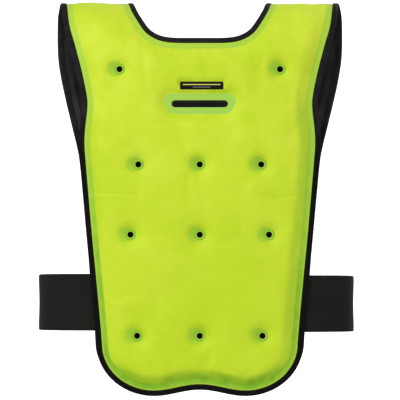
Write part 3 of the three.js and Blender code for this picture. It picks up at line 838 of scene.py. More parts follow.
class Graph:
    """A new material's node tree, built a node at a time round one shader."""

    def __init__(self, name: str) -> None:
        """Makes the material with its shader and output."""
        self.made = bpy.data.materials.new(name)
        self.made.use_nodes = True
        self.tree = self.made.node_tree
        self.tree.nodes.clear()
        self.shader = self.add("ShaderNodeBsdfPrincipled")
        self.wire(self.shader.outputs["BSDF"], self.add("ShaderNodeOutputMaterial").inputs["Surface"])

    def add(self, kind: str, **settings: object) -> bpy.types.Node:
        """Adds a node with its settings."""
        node = self.tree.nodes.new(kind)
        for key, value in settings.items():
            setattr(node, key, value)
        return node

    def wire(self, start: object, end: Socket) -> None:
        """Joins an output to an input, or sets the input where start is a plain value."""
        if isinstance(start, bpy.types.NodeSocket):
            self.tree.links.new(start, end)
        else:
            end.default_value = start

    def number(self, operation: str, first: object, second: object = 0.0) -> Socket:
        """The result of a sum on numbers or outputs."""
        node = self.add("ShaderNodeMath", operation=operation)
        self.wire(first, node.inputs[0])
        self.wire(second, node.inputs[1])
        return node.outputs[0]

    def note(self, name: str) -> Socket:
        """The number that a piece carries at each corner under a name."""
        return self.add("ShaderNodeAttribute", attribute_type="GEOMETRY", attribute_name=name).outputs["Fac"]

    def flat_place(self) -> tuple[Socket, Socket, Socket]:
        """The place on the flat cloth, in metres: the vector, then its two parts."""
        vector = self.add("ShaderNodeUVMap", uv_map="cloth").outputs["UV"]
        parts = self.add("ShaderNodeSeparateXYZ")
        self.wire(vector, parts.inputs[0])
        return vector, parts.outputs["X"], parts.outputs["Y"]

    def object_place(self) -> Socket:
        """The place in the object's own frame, in metres."""
        return self.add("ShaderNodeTexCoord").outputs["Object"]

    def noise(self, vector: Socket, scale: float, detail: float, roughness: float = 0.5) -> Socket:
        """A soft noise from 0 to 1 at a scale per metre."""
        node = self.add("ShaderNodeTexNoise")
        self.wire(vector, node.inputs["Vector"])
        node.inputs["Scale"].default_value = scale
        node.inputs["Detail"].default_value = detail
        node.inputs["Roughness"].default_value = roughness
        return node.outputs["Fac"]

    def between(self, value: Socket, low: float, high: float) -> Socket:
        """A smooth step from 0 at low to 1 at high."""
        node = self.add("ShaderNodeMapRange", interpolation_type="SMOOTHSTEP")
        self.wire(value, node.inputs["Value"])
        node.inputs["From Min"].default_value = low
        node.inputs["From Max"].default_value = high
        return node.outputs["Result"]

    def patches(self, vector: Socket, scale: float, detail: float, low: float, high: float) -> Socket:
        """Soft patches from 0 to 1: a smooth step over a noise at a scale per metre."""
        return self.between(self.noise(vector, scale, detail), low, high)

    def scaled(self, value: Socket, by: float) -> Socket:
        """An output times a number."""
        return self.number("MULTIPLY", value, by)

    def below(self, value: Socket, low: float, high: float) -> Socket:
        """A smooth step from 1 at low to 0 at high."""
        return self.number("SUBTRACT", 1.0, self.between(value, low, high))

    def mixed(self, share: object, first: object, second: object) -> Socket:
        """A colour between two, first at share 0 and second at share 1."""
        node = self.add("ShaderNodeMix", data_type="RGBA")
        self.wire(share, node.inputs["Factor"])
        ends = [s for s in node.inputs if s.type == "RGBA"]
        self.wire(first, ends[0])
        self.wire(second, ends[1])
        return next(s for s in node.outputs if s.type == "RGBA")

    def toned(self, tone: Socket, share: Socket, colour: Colour) -> Socket:
        """A tone with a colour laid over it by a share."""
        return self.mixed(share, tone, screen(*colour))

    def wave(self, place: Socket, pitch: float) -> Socket:
        """A sine of a place, from -1 to 1, that repeats at a pitch in metres."""
        return self.number("SINE", self.number("MULTIPLY", place, 2 * math.pi / pitch))

    def bump(self, height: Socket, distance: float, strength: float, under: Socket | None = None) -> Socket:
        """A normal that a height field tilts.

        Args:
            height: the height, about 0 to 1.
            distance: the height in metres that 1 stands for.
            strength: the share of the tilt that is used.
            under: a normal that this one is laid on.

        Returns:
            The normal output.
        """
        node = self.add("ShaderNodeBump")
        node.inputs["Distance"].default_value = distance
        node.inputs["Strength"].default_value = strength
        self.wire(height, node.inputs["Height"])
        if under is not None:
            self.wire(under, node.inputs["Normal"])
        return node.outputs["Normal"]

    def dress(
        self, colour: object, roughness: object, normal: Socket | None = None, **fixed: float
    ) -> bpy.types.Material:
        """Gives the shader its colour, roughness, normal and numbers that are the same all over.

        Args:
            colour: a colour or an output.
            roughness: a number or an output.
            normal: the bumped normal, if any.
            fixed: the shader's other numbers, by socket name with spaces as underscores.

        Returns:
            The finished material.
        """
        self.wire(colour, self.shader.inputs["Base Color"])
        self.wire(roughness, self.shader.inputs["Roughness"])
        if normal is not None:
            self.wire(normal, self.shader.inputs["Normal"])
        for name, value in fixed.items():
            self.shader.inputs[name.replace("_", " ")].default_value = value
        return self.made


@dataclass(frozen=True)
class Finish:
    """What a piece is made of."""

    name: str

    def material(self) -> bpy.types.Material:
        """The finish's material, made once."""
        return bpy.data.materials.get(self.name) or self.build()

    def build(self) -> bpy.types.Material:
        """Makes the material."""
        raise NotImplementedError


@dataclass(frozen=True)
class LimeFilm(Finish):
    """The coated lime cloth of the chambers: matt and finely woven, greener where it is welded."""

    name: str = "welded_lime_cloth"
    pale: Colour = (223, 239, 74)
    full: Colour = (209, 230, 52)
    deep: Colour = (195, 222, 36)
    low: Colour = (188, 216, 26)
    # Painted shade on the turned-down facet at the right edge.
    facet: Colour = (176, 212, 46)
    # Painted shade along the hem.
    shade: Colour = (126, 178, 26)
    weld_high: Colour = (172, 214, 64)
    weld_low: Colour = (126, 182, 34)
    flange: Colour = (184, 222, 60)
    field_weld: Colour = (168, 214, 84)
    eyelet: Colour = (140, 194, 50)
    # Painted shade beside each eyelet.
    halo: Colour = (176, 218, 56)
    heights: Span = (-600.0, -30.0)
    hem_heights: Span = (-594.0, -566.0)
    hem_reach: Span = (16.0, 29.0)
    dimple_shade_reach: Span = (11.0, 14.2)
    weld_reach: Span = (8.9, 12.4)
    flange_reach: Span = (2.2, 4.4)
    eyelet_reach: Span = (9.0, 10.0)
    hole_reach: Span = (5.5, 6.2)
    thread_pitch: float = 0.0009

    def build(self) -> bpy.types.Material:
        """Makes the material: zones by the distances that the chamber carries, weave, soft tones and painted
        shade.
        """
        g = Graph(self.name)
        here = g.object_place()
        _, across, along = g.flat_place()
        lip, eyelet = g.note("lip"), g.note("eyelet")
        upward = g.between(g.note("height"), *self.heights)
        broad = g.patches(here, 7.0, 2.0, 0.3, 0.7)
        small = g.patches(here, 26.0, 3.0, 0.35, 0.72)
        tone = g.mixed(broad, screen(*self.deep), screen(*self.full))
        tone = g.toned(tone, g.scaled(small, 0.3), self.pale)
        # Darker and less blue towards the hem: partly the cloth's own tone, partly painted shade, the top lit
        # more from above.
        tone = g.toned(tone, g.scaled(g.below(upward, 0.0, 1.0), 0.5), self.low)
        # Painted shade: a darker, greener band on the right edge's turned-down facet, away from the key lamp.
        tone = g.toned(tone, g.scaled(g.note("facet"), 0.6), self.facet)
        # Painted shade along the hem, where the film turns down away from the light from above, its strength
        # uneven.
        at_hem = g.below(g.note("height"), *self.hem_heights)
        hem = g.number("MULTIPLY", at_hem, g.below(lip, *self.hem_reach))
        uneven = g.number("ADD", 0.55, g.scaled(g.patches(here, 34.0, 2.0, 0.3, 0.7), 0.45))
        tone = g.toned(tone, g.number("MULTIPLY", hem, uneven), self.shade)
        # Painted shade: a greener disc on the slope of each eyelet's dimple that faces away from the key
        # lamp.
        halo = g.below(g.note("halo"), *self.dimple_shade_reach)
        tone = g.toned(tone, g.scaled(halo, 0.9), self.halo)
        # The weld is paler at the top and deeper at the hem: partly its own tone, partly painted shade, the
        # top lit more from above.
        weld = g.mixed(upward, screen(*self.weld_low), screen(*self.weld_high))
        wet = g.scaled(g.patches(here, 60.0, 2.0, 0.3, 0.7), 0.3)
        tone = g.mixed(g.below(lip, *self.weld_reach), tone, g.mixed(wet, weld, screen(*self.flange)))
        tone = g.toned(tone, g.scaled(g.below(lip, *self.flange_reach), 0.75), self.flange)
        tone = g.toned(tone, g.below(g.note("field"), -0.6, 0.6), self.field_weld)
        tone = g.toned(tone, g.below(eyelet, *self.eyelet_reach), self.eyelet)
        tone = g.toned(tone, g.scaled(g.below(eyelet, *self.hole_reach), 0.55), self.pale)
        weave = g.number("MULTIPLY", g.wave(across, self.thread_pitch), g.wave(along, self.thread_pitch))
        fine = g.bump(weave, 0.00006, 0.5)
        rumple = g.bump(g.noise(here, 45.0, 3.0, 0.55), 0.0016, 0.35, fine)
        grain = g.noise(here, 900.0, 2.0)
        rough = g.number("ADD", g.scaled(grain, 0.12), 0.46)
        return g.dress(tone, rough, rumple, Specular_IOR_Level=0.22)


@dataclass(frozen=True)
class BlackKnit(Finish):
    """The lining: a fine black knit with rows of small loops."""

    name: str = "fine_black_knit"
    dark: Colour = (37, 37, 39)
    light: Colour = (57, 57, 59)
    # Painted shadow: the near black of the lining seen through the eyelets and the slot.
    hidden: Colour = (1, 1, 1)
    hole_shadow_reach: Span = (3.0, 6.0)
    loop_pitch: float = 0.0014

    def build(self) -> bpy.types.Material:
        """Makes the material: ribs across, loops along, and a soft change of tone."""
        g = Graph(self.name)
        _, across, along = g.flat_place()
        here = g.object_place()
        ribs = g.number("ABSOLUTE", g.wave(across, self.loop_pitch))
        bent = g.number("ADD", along, g.scaled(ribs, 0.0004))
        loops = g.number("ABSOLUTE", g.wave(bent, self.loop_pitch))
        knit = g.number("MULTIPLY", ribs, loops)
        tone = g.mixed(g.patches(here, 18.0, 3.0, 0.3, 0.75), screen(*self.dark), screen(*self.light))
        tone = g.toned(tone, g.scaled(knit, 0.3), self.light)
        # Painted shadow: the lining goes near black behind the eyelets, and less so behind the slot, where
        # shadow falls into the holes.
        tone = g.toned(tone, g.below(g.note("hole"), *self.hole_shadow_reach), self.hidden)
        normal = g.bump(knit, 0.0002, 0.6)
        return g.dress(tone, 0.82, normal, Specular_IOR_Level=0.05, Sheen_Weight=0.03, Sheen_Roughness=0.5)


@dataclass(frozen=True)
class BlackTape(Finish):
    """The fold-over binding: a black tape with fine ribs across it, a little paler at the shoulders, with
    painted light on the front panel's part there.
    """

    name: str = "ribbed_black_tape"
    dark: Colour = (5, 5, 7)
    light: Colour = (11, 10, 13)
    upper_dark: Colour = (23, 23, 25)
    upper_light: Colour = (35, 34, 36)
    front_lit_dark: Colour = (40, 40, 42)
    front_lit_light: Colour = (52, 51, 53)
    upper_heights: Span = (-0.25, -0.17)
    front_lit_depths: Span = (0.02, 0.05)
    rib_pitch: float = 0.0011

    def build(self) -> bpy.types.Material:
        """Makes the material: ribs across the tape, crossed by a finer thread."""
        g = Graph(self.name)
        _, across, along = g.flat_place()
        here = g.object_place()
        ribs = g.number("ABSOLUTE", g.wave(along, self.rib_pitch))
        thread = g.number("MULTIPLY", ribs, g.wave(across, self.rib_pitch * 0.8))
        spots = g.patches(here, 55.0, 3.0, 0.35, 0.7)
        parts = g.add("ShaderNodeSeparateXYZ")
        g.wire(here, parts.inputs[0])
        # Paler towards the shoulders.
        upper = g.between(parts.outputs["Z"], *self.upper_heights)
        low = g.mixed(spots, screen(*self.dark), screen(*self.light))
        high = g.mixed(spots, screen(*self.upper_dark), screen(*self.upper_light))
        # Painted light: the front panel's binding, left in shade by the lamps, gets a paler tone that stands
        # in for light from the front.
        far = g.mixed(spots, screen(*self.front_lit_dark), screen(*self.front_lit_light))
        front_lit_share = g.between(parts.outputs["Y"], *self.front_lit_depths)
        tone = g.mixed(upper, low, g.mixed(front_lit_share, high, far))
        normal = g.bump(thread, 0.00018, 0.5)
        return g.dress(tone, 0.75, normal, Specular_IOR_Level=0.1, Sheen_Weight=0.01, Sheen_Roughness=0.45)


@dataclass(frozen=True)
class BlackElastic(Finish):
    """The side bands: woven elastic with long cords and a cross thread."""

    name: str = "corded_black_elastic"
    dark: Colour = (22, 22, 19)
    light: Colour = (34, 34, 30)
    cord_pitch: float = 0.0022

    def build(self) -> bpy.types.Material:
        """Makes the material: round cords along the band, with threads across them."""
        g = Graph(self.name)
        _, down, along = g.flat_place()
        here = g.object_place()
        cords = g.number("ABSOLUTE", g.wave(down, self.cord_pitch))
        threads = g.scaled(g.wave(along, self.cord_pitch / 3), 0.3)
        height = g.number("ADD", cords, threads)
        broad = g.patches(here, 14.0, 3.0, 0.3, 0.7)
        tone = g.mixed(broad, screen(*self.dark), screen(*self.light))
        tone = g.mixed(g.number("MULTIPLY", cords, 0.25), screen(*self.dark), tone)
        normal = g.bump(height, 0.00022, 0.6)
        return g.dress(tone, 0.8, normal, Specular_IOR_Level=0.15, Sheen_Weight=0.02, Sheen_Roughness=0.5)


@dataclass(frozen=True)
class Thread(Finish):
    """Black sewing thread."""

    name: str = "black_sewing_thread"
    tone: Colour = (34, 33, 34)

    def build(self) -> bpy.types.Material:
        """Makes the material: a tight twist along each stitch."""
        g = Graph(self.name)
        _, across, along = g.flat_place()
        twist = g.wave(g.number("ADD", across, along), 0.0005)
        shade = g.mixed(g.between(twist, -1.0, 1.0), screen(17, 16, 17), screen(*self.tone))
        return g.dress(shade, 0.6, g.bump(twist, 0.00008, 0.5), Specular_IOR_Level=0.25)


@dataclass(frozen=True)
class TagCloth(Finish):
    """The small woven tag: black, with a lime rule and a grey rule.

    Each rule is its middle, half height and reach to each side, in millimetres.
    """

    name: str = "woven_black_tag"
    ground: Colour = (2, 2, 3)
    lime_rule: Colour = (206, 208, 96)
    grey_rule: Colour = (132, 132, 128)
    lime_place: Colour = (1.6, 0.8, 30.0)
    grey_place: Colour = (-2.6, 0.45, 14.0)

    def build(self) -> bpy.types.Material:
        """Makes the material: a fine weave and two plain rules, by the places that the tag carries."""
        g = Graph(self.name)
        _, across, along = g.flat_place()
        up, beside = g.note("up"), g.note("beside")
        weave = g.number("MULTIPLY", g.wave(across, 0.0005), g.wave(along, 0.0005))
        tone = g.mixed(g.between(weave, -1.0, 1.0), screen(*self.ground), screen(9, 9, 10))
        rules = (self.lime_place, self.lime_rule), (self.grey_place, self.grey_rule)
        for (middle, half, reach), colour in rules:
            away = g.number("ABSOLUTE", g.number("SUBTRACT", up, middle))
            inside = g.below(away, half - 0.2, half + 0.2)
            ends = g.below(g.number("ABSOLUTE", beside), reach - 0.3, reach + 0.3)
            tone = g.mixed(g.number("MULTIPLY", inside, ends), tone, screen(*colour))
        return g.dress(tone, 0.6, g.bump(weave, 0.00005, 0.5), Specular_IOR_Level=0.15)


# Pieces


@dataclass
class Chamber:
    """The quilted water chamber of one panel: a lime skin over a flat inner film."""

    panel: Panel
    name: str
    node: str
    spacing: float = 5.9
    floor_spacing: float = 12.0
    floor_lift: float = 0.3
    thin_fold: float = 4.0
    rings: tuple[float, ...] = (0.0, 1.5, 3.0, 5.0, 7.0, 9.0, 11.5, 14.5, 18.5, 23.0)
    field_rings: tuple[float, ...] = (0.0, 2.0, 4.5, 8.0, 12.0)
    tag_rings: tuple[float, ...] = (0.0, 2.0, 4.0, 6.0)
    fold_rows: tuple[float, ...] = (0.0, 1.6, -1.6, 3.4, -3.4)
    facet_shade_drops: Span = (120.0, 600.0)
    facet_shade_beyond: float = 60.0
    facet_shade_lip: float = 28.0
    dimple_shade_offset: Span = (-7.0, 0.6)
    pressure: float = 3.0
    growth: float = 0.004
    swell_cap: float = 2.5
    frames: int = 20
    stretch_stiffness: float = 40.0
    shear_stiffness: float = 20.0
    bend_stiffness: float = 3.0
    eyelet_rings: tuple[tuple[float, float], ...] = (
        (1.0, 0.5), (3.0, 0.0), (4.75, 0.5), (6.5, 0.0), (9.0, 0.5), (12.5, 0.0), (17.0, 0.5),
    )

    def holes(self) -> list[np.ndarray]:
        """The loops of the eyelets and the slot."""
        cut = self.panel.cut
        loops = [ring(e, cut.eyelet_hole, cut.eyelet_sides) for e in self.panel.eyelets()]
        return loops + ([self.panel.slot_loop(0.0, 2.0)] if self.panel.has_field else [])

    def inner_points(self) -> np.ndarray:
        """The points between the edge and the holes: rings along every weld, then an even net.

        Returns:
            The points, one a row.
        """
        panel, cut = self.panel, self.panel.cut
        kept = np.vstack([panel.rim, *self.holes()])

        def keep(points: np.ndarray, room: float) -> None:
            """Adds the points that have enough room to those before them."""
            nonlocal kept
            kept = np.vstack([kept, points[nearest(points, kept) > room]])

        rim_count = len(kept)
        for eyelet in panel.eyelets():
            for away, phase in self.eyelet_rings:
                keep(ring(eyelet, cut.eyelet_hole + away, cut.eyelet_sides, phase), 0.6)
        if panel.has_field:
            keep(panel.slot_loop(1.2, 2.4), 0.6)
            for margin in self.field_rings:
                keep(panel.field_loop(margin, 3.2), 1.4)
            half = np.array([cut.tag_width, cut.tag_height]) / 2
            for margin in self.tag_rings:
                corners = (half + margin) * np.array([[-1, 1], [1, 1], [1, -1], [-1, -1], [-1, 1]])
                keep(spaced(corners, 3.2)[:-1] + panel.tag_centre(), 1.2)
        for fold in panel.folds:
            if fold.width < self.thin_fold:
                ends = fold.ends(panel.sheet)
                across = np.array([ends[0, 1] - ends[1, 1], ends[1, 0] - ends[0, 0]])
                across /= np.linalg.norm(across)
                for away in self.fold_rows:
                    keep(spaced(ends + across * away, 2.6), 1.2)
        for away in self.rings:
            for line in (panel.outer, panel.collar):
                near = spaced(inset(line, panel.layers.binding_width + away), panel.rim_step)
                keep(near[panel.lip_distance(near) > away - 0.4], 1.2 if away < 12 else 2.4)
        grid = even_points(panel.rim.min(0), panel.rim.max(0), self.spacing)
        keep(grid, self.spacing * 0.6)
        inner = kept[rim_count:]
        inner = inner[is_inside(panel.rim, inner)]
        for hole in self.holes():
            inner = inner[~is_inside(hole, inner)]
        return inner[nearest(inner, panel.rim) > 0.5]

    def notes(self, points: np.ndarray) -> dict[str, np.ndarray]:
        """The distances that the lime film's finish reads, in millimetres.

        Args:
            points: the points on the body sheet, one a row.

        Returns:
            The distance from the binding's lip, from the eyelets, from the discs of painted shade beside them
            and from the field, the height below the crest, and how far a point lies on the turned-down facet
            at the right edge, which gets painted shade.
        """
        panel = self.panel
        lip = np.minimum(panel.lip_distance(points), FAR)
        drop = panel.sheet.drop_of(points[:, 1])
        # Where the painted shade of the right edge's facet goes: the panel's right side, below the shoulders
        # and above the hem, near the weld.
        start, end = self.facet_shade_drops
        down = eased((drop - start) / 60) * eased((end - drop) / 50) * (points[:, 0] > self.facet_shade_beyond)
        middles = panel.eyelets()
        # The discs of painted shade sit beside the eyelets, on the key lamp's side.
        beside = np.array(self.dimple_shade_offset) * panel.turn
        far = np.full(len(points), FAR)
        return {
            "lip": lip,
            "height": -drop,
            "facet": down * eased((self.facet_shade_lip - lip) / 3),
            "eyelet": np.minimum(nearest(points, middles), FAR),
            "halo": np.minimum(nearest(points, middles + beside), FAR),
            "field": np.minimum(panel.field_distance(points), FAR) if panel.has_field else far,
        }

    def surface(self) -> tuple[Surface, np.ndarray]:
        """The skin, the inner film and the walls between them as one closed surface.

        Returns:
            The surface, and which of its corners the welds hold still.
        """
        panel, cut, layers = self.panel, self.panel.cut, self.panel.layers
        loops = [panel.rim, *self.holes()]
        points, skin = net_over(loops, self.inner_points())
        rim = sum(len(loop) for loop in loops)
        grid = even_points(panel.rim.min(0), panel.rim.max(0), self.floor_spacing)
        grid = grid[is_inside(panel.rim, grid)]
        grid = grid[nearest(grid, points[:rim]) > self.floor_spacing / 3]
        for hole in loops[1:]:
            grid = grid[~is_inside(hole, grid)]
        under, film = net_over(loops, grid)
        count = len(points)
        flat = np.vstack([points, under])
        thickness = panel.thickness(points)
        lift = np.where(np.arange(len(under)) < rim, 0.0, self.floor_lift)
        corners = np.vstack(
            [panel.put(points, layers.chamber_low + thickness), panel.put(under, layers.chamber_low + lift)]
        )
        notes = self.notes(flat)
        made = Surface(corners, [skin, film[:, ::-1] + count, walls(loops, count)], flat, notes)
        held = (notes["lip"] <= layers.weld_zone + 0.2) | (notes["eyelet"] <= cut.eyelet_weld + 0.2)
        if panel.has_field:
            held |= (notes["field"] <= 0.2) | (panel.tag_distance(flat) <= 0.2)
        held[count:] = True
        return made, held

    def make(self) -> bpy.types.Object:
        """Builds, swells and dresses the chamber.

        Returns:
            The finished piece.
        """
        surface, held = self.surface()
        piece = piece_from(self.name, surface, LimeFilm())
        self.swell(piece, held)
        smooth = piece.modifiers.new("smooth", "SUBSURF")
        smooth.levels = smooth.render_levels = 1
        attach(piece, "root")
        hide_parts(self.node)
        return piece

    def swell(self, piece: bpy.types.Object, held: np.ndarray) -> None:
        """Lets water pressure swell the skin between its welds, with each point's movement capped.

        Args:
            piece: the chamber.
            held: which corners the welds hold.
        """
        scene = bpy.context.scene
        group = piece.vertex_groups.new(name="held")
        group.add(np.flatnonzero(held).tolist(), 1.0, "REPLACE")
        cloth = piece.modifiers.new("swell", "CLOTH")
        rules = cloth.settings
        rules.quality = 5
        rules.mass = 0.1
        rules.tension_stiffness = rules.compression_stiffness = self.stretch_stiffness
        rules.shear_stiffness = self.shear_stiffness
        rules.bending_stiffness = self.bend_stiffness
        rules.vertex_group_mass = group.name
        rules.pin_stiffness = 1.0
        rules.use_pressure = True
        rules.uniform_pressure_force = self.pressure
        rules.shrink_min = -self.growth
        rules.effector_weights.gravity = 0
        cloth.point_cache.frame_start, cloth.point_cache.frame_end = 1, self.frames
        rest = np.zeros(len(piece.data.vertices) * 3, np.float32)
        piece.data.vertices.foreach_get("co", rest)
        for step in range(1, self.frames + 1):
            scene.frame_set(step)
        found = np.zeros_like(rest)
        shaped = piece.evaluated_get(bpy.context.evaluated_depsgraph_get()).data
        shaped.vertices.foreach_get("co", found)
        move = (found - rest).reshape(-1, 3)
        size = np.linalg.norm(move, axis=1, keepdims=True)
        cap = self.swell_cap * METRES
        most, mean = size.max() / METRES, size.mean() / METRES
        log.info("%s moves %.2f mm at most, %.2f mm on average", piece.name, most, mean)
        move *= cap * np.tanh(size / cap) / np.maximum(size, 1e-9)
        piece.modifiers.remove(cloth)
        piece.vertex_groups.remove(group)
        scene.frame_set(1)
        piece.data.vertices.foreach_set("co", rest + move.ravel())
        piece.data.update()


@dataclass
class Lining:
    """The black inner cloth of one panel, with soft folds beside the armholes."""

    panel: Panel
    name: str
    node: str
    folds: tuple[Fold, ...] = ()
    spacing: float = 7.0
    lip_rows: tuple[float, ...] = (0.0, 4.0, 8.0)
    slot_shade: float = 4.1

    def fold_depth(self, points: np.ndarray) -> np.ndarray:
        """How far the cloth stands in from the sheet: folds that fade out at the bindings and the seam."""
        panel = self.panel
        held = eased(panel.lip_distance(points) / 9.0)
        return held * lift_of(self.folds, panel.sheet, points)

    def surface(self) -> Surface:
        """The cloth as two faces a wall apart, closed round its edge.

        Returns:
            The surface.
        """
        panel, wall = self.panel, self.panel.layers.lining_wall
        grid = even_points(panel.rim.min(0), panel.rim.max(0), self.spacing)
        lips = [
            spaced(inset(line, panel.layers.binding_width + away), 5.0)
            for line in (panel.outer, panel.collar)
            for away in self.lip_rows
        ]
        inner = np.vstack(lips)
        inner = inner[panel.lip_distance(inner) > -0.5]
        inner = np.vstack([inner, grid[nearest(grid, inner) > self.spacing * 0.6]])
        inner = inner[is_inside(panel.rim, inner)]
        inner = inner[nearest(inner, panel.rim) > 2.0]
        points, triangles = net_over([panel.rim], inner)
        count = len(points)
        drop = self.fold_depth(points)
        corners = np.vstack([panel.put(points, wall - drop), panel.put(points, -drop)])
        outer_face = np.where(np.arange(2 * count) < count, 0.0, FAR)
        both = np.vstack([points, points])
        # Only the face towards the chamber carries the painted shadow of the holes.
        notes = {"hole": np.maximum(self.from_holes(both), outer_face)}
        faces = [triangles, triangles[:, ::-1] + count, walls([panel.rim], count)]
        return Surface(corners, faces, both, notes)

    def from_holes(self, points: np.ndarray) -> np.ndarray:
        """How far points lie outside the chamber's eyelets, and its wider slot, where less shadow falls."""
        panel = self.panel
        away = nearest(points, panel.eyelets()) - panel.cut.eyelet_hole
        if panel.has_field:
            at = np.abs(points - panel.field_centre())
            half = (panel.cut.slot_length - panel.cut.slot_height) / 2
            slot = np.hypot(np.maximum(0, at[:, 0] - half), at[:, 1]) - panel.cut.slot_height / 2
            away = np.minimum(away, np.maximum(slot, 0.0) + self.slot_shade)
        return np.minimum(away, FAR)

    def make(self) -> bpy.types.Object:
        """Builds and dresses the lining.

        Returns:
            The finished piece.
        """
        piece = piece_from(self.name, self.surface(), BlackKnit())
        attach(piece, "root")
        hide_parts(self.node)
        return piece


@dataclass
class Binding:
    """The fold-over tape round an edge, with a row of stitches on each face."""

    name: str
    node: str
    lines: list[tuple[Panel, np.ndarray]]
    is_ring: bool = False
    stitch_pitch: float = 3.4
    stitch_length: float = 2.5
    stitch_width: float = 0.6
    stitch_from_lip: float = 1.9
    tape_width: float = 9.2

    def section(self) -> np.ndarray:
        """The tape's section: how far in from the edge, and the height, round a folded tape.

        The outer contour runs from one lip round the fold to the other, dips at the stitches and swells
        a little beside them. The inner contour goes back a wall's thickness inside it.

        Returns:
            The section's corners, the outer contour first.
        """
        layers = Layers()
        width, wall = self.tape_width, layers.binding_wall
        middle = (layers.binding_high + layers.binding_low) / 2
        half = (layers.binding_high - layers.binding_low) / 2
        reach = np.array([1.0, 0.97, 0.9, 0.79, 0.7, 0.58, 0.42, 0.28])
        swell = np.array([-0.35, -0.05, -0.05, -0.18, 0.0, 0.12, 0.12, 0.02])
        flat = np.stack([reach * width, half + swell], axis=1)
        turn = np.linspace(np.pi / 2, 0, 7)[1:-1]
        nose = np.stack([1.9 * (1 - np.cos(turn)), half * np.sin(turn)], axis=1)
        top = np.vstack([flat, nose, [[0.0, 0.0]]])
        outer = np.vstack([top, (top * np.array([1, -1]))[::-1][1:]])
        shrink = np.array([1.0, (half - wall) / half])
        inner = outer * shrink
        inner[:, 0] = np.maximum(inner[:, 0], wall)
        inner[:, 1] = np.clip(outer[:, 1], -(half - wall) + 0.05, half - wall - 0.05)
        return np.vstack([outer, inner[::-1]]) + np.array([0, middle])

    def stations(self, in_from: float, height: float) -> np.ndarray:
        """The line at a distance in from the edge and a height, through all the panels' edges."""
        parts = [panel.put(inset(line, in_from), height) for panel, line in self.lines]
        return np.vstack([parts[0]] + [p[1:-1] for p in parts[1:]])

    def tape(self) -> Surface:
        """The tape as its section carried along the edge."""
        section = self.section()
        rings = np.stack([self.stations(x, h) for x, h in section], axis=1)
        edge = self.stations(0.0, 0.0)
        along = np.concatenate([[0], np.cumsum(np.linalg.norm(np.diff(edge, axis=0), axis=1))])
        across = np.concatenate([[0], np.cumsum(np.linalg.norm(np.diff(section, axis=0), axis=1))])
        cloth = np.stack(np.broadcast_arrays(across[None, :], along[:, None]), axis=2)
        made = carried(rings, cloth, self.is_ring)
        made.sharp_from = 70.0
        return made

    def stitches(self) -> Surface:
        """The two rows of stitches, one on each face of the tape."""
        layers = Layers()
        inward = self.tape_width - self.stitch_from_lip
        rows = []
        for height, outward in ((layers.binding_high - 0.12, 1.0), (layers.binding_low + 0.12, -1.0)):
            line = spaced(self.stations(inward, height), self.stitch_pitch)
            above = spaced(self.stations(inward, height + outward), self.stitch_pitch)
            count = min(len(line), len(above)) - 1
            step = np.diff(line, axis=0)[:count]
            rows.append(
                thread_row(
                    line[:count] + step / 2,
                    step,
                    above[:count] - line[:count],
                    self.stitch_length,
                    self.stitch_width,
                )
            )
        return joined(rows)

    def make(self) -> list[bpy.types.Object]:
        """Builds and dresses the tape and its stitches.

        Returns:
            The two finished pieces.
        """
        tape = piece_from(self.name, self.tape(), BlackTape())
        sewn = piece_from(self.name + "_stitches", self.stitches(), Thread())
        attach(tape, "root")
        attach(sewn, "root")
        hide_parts(self.node)
        return [tape, sewn]


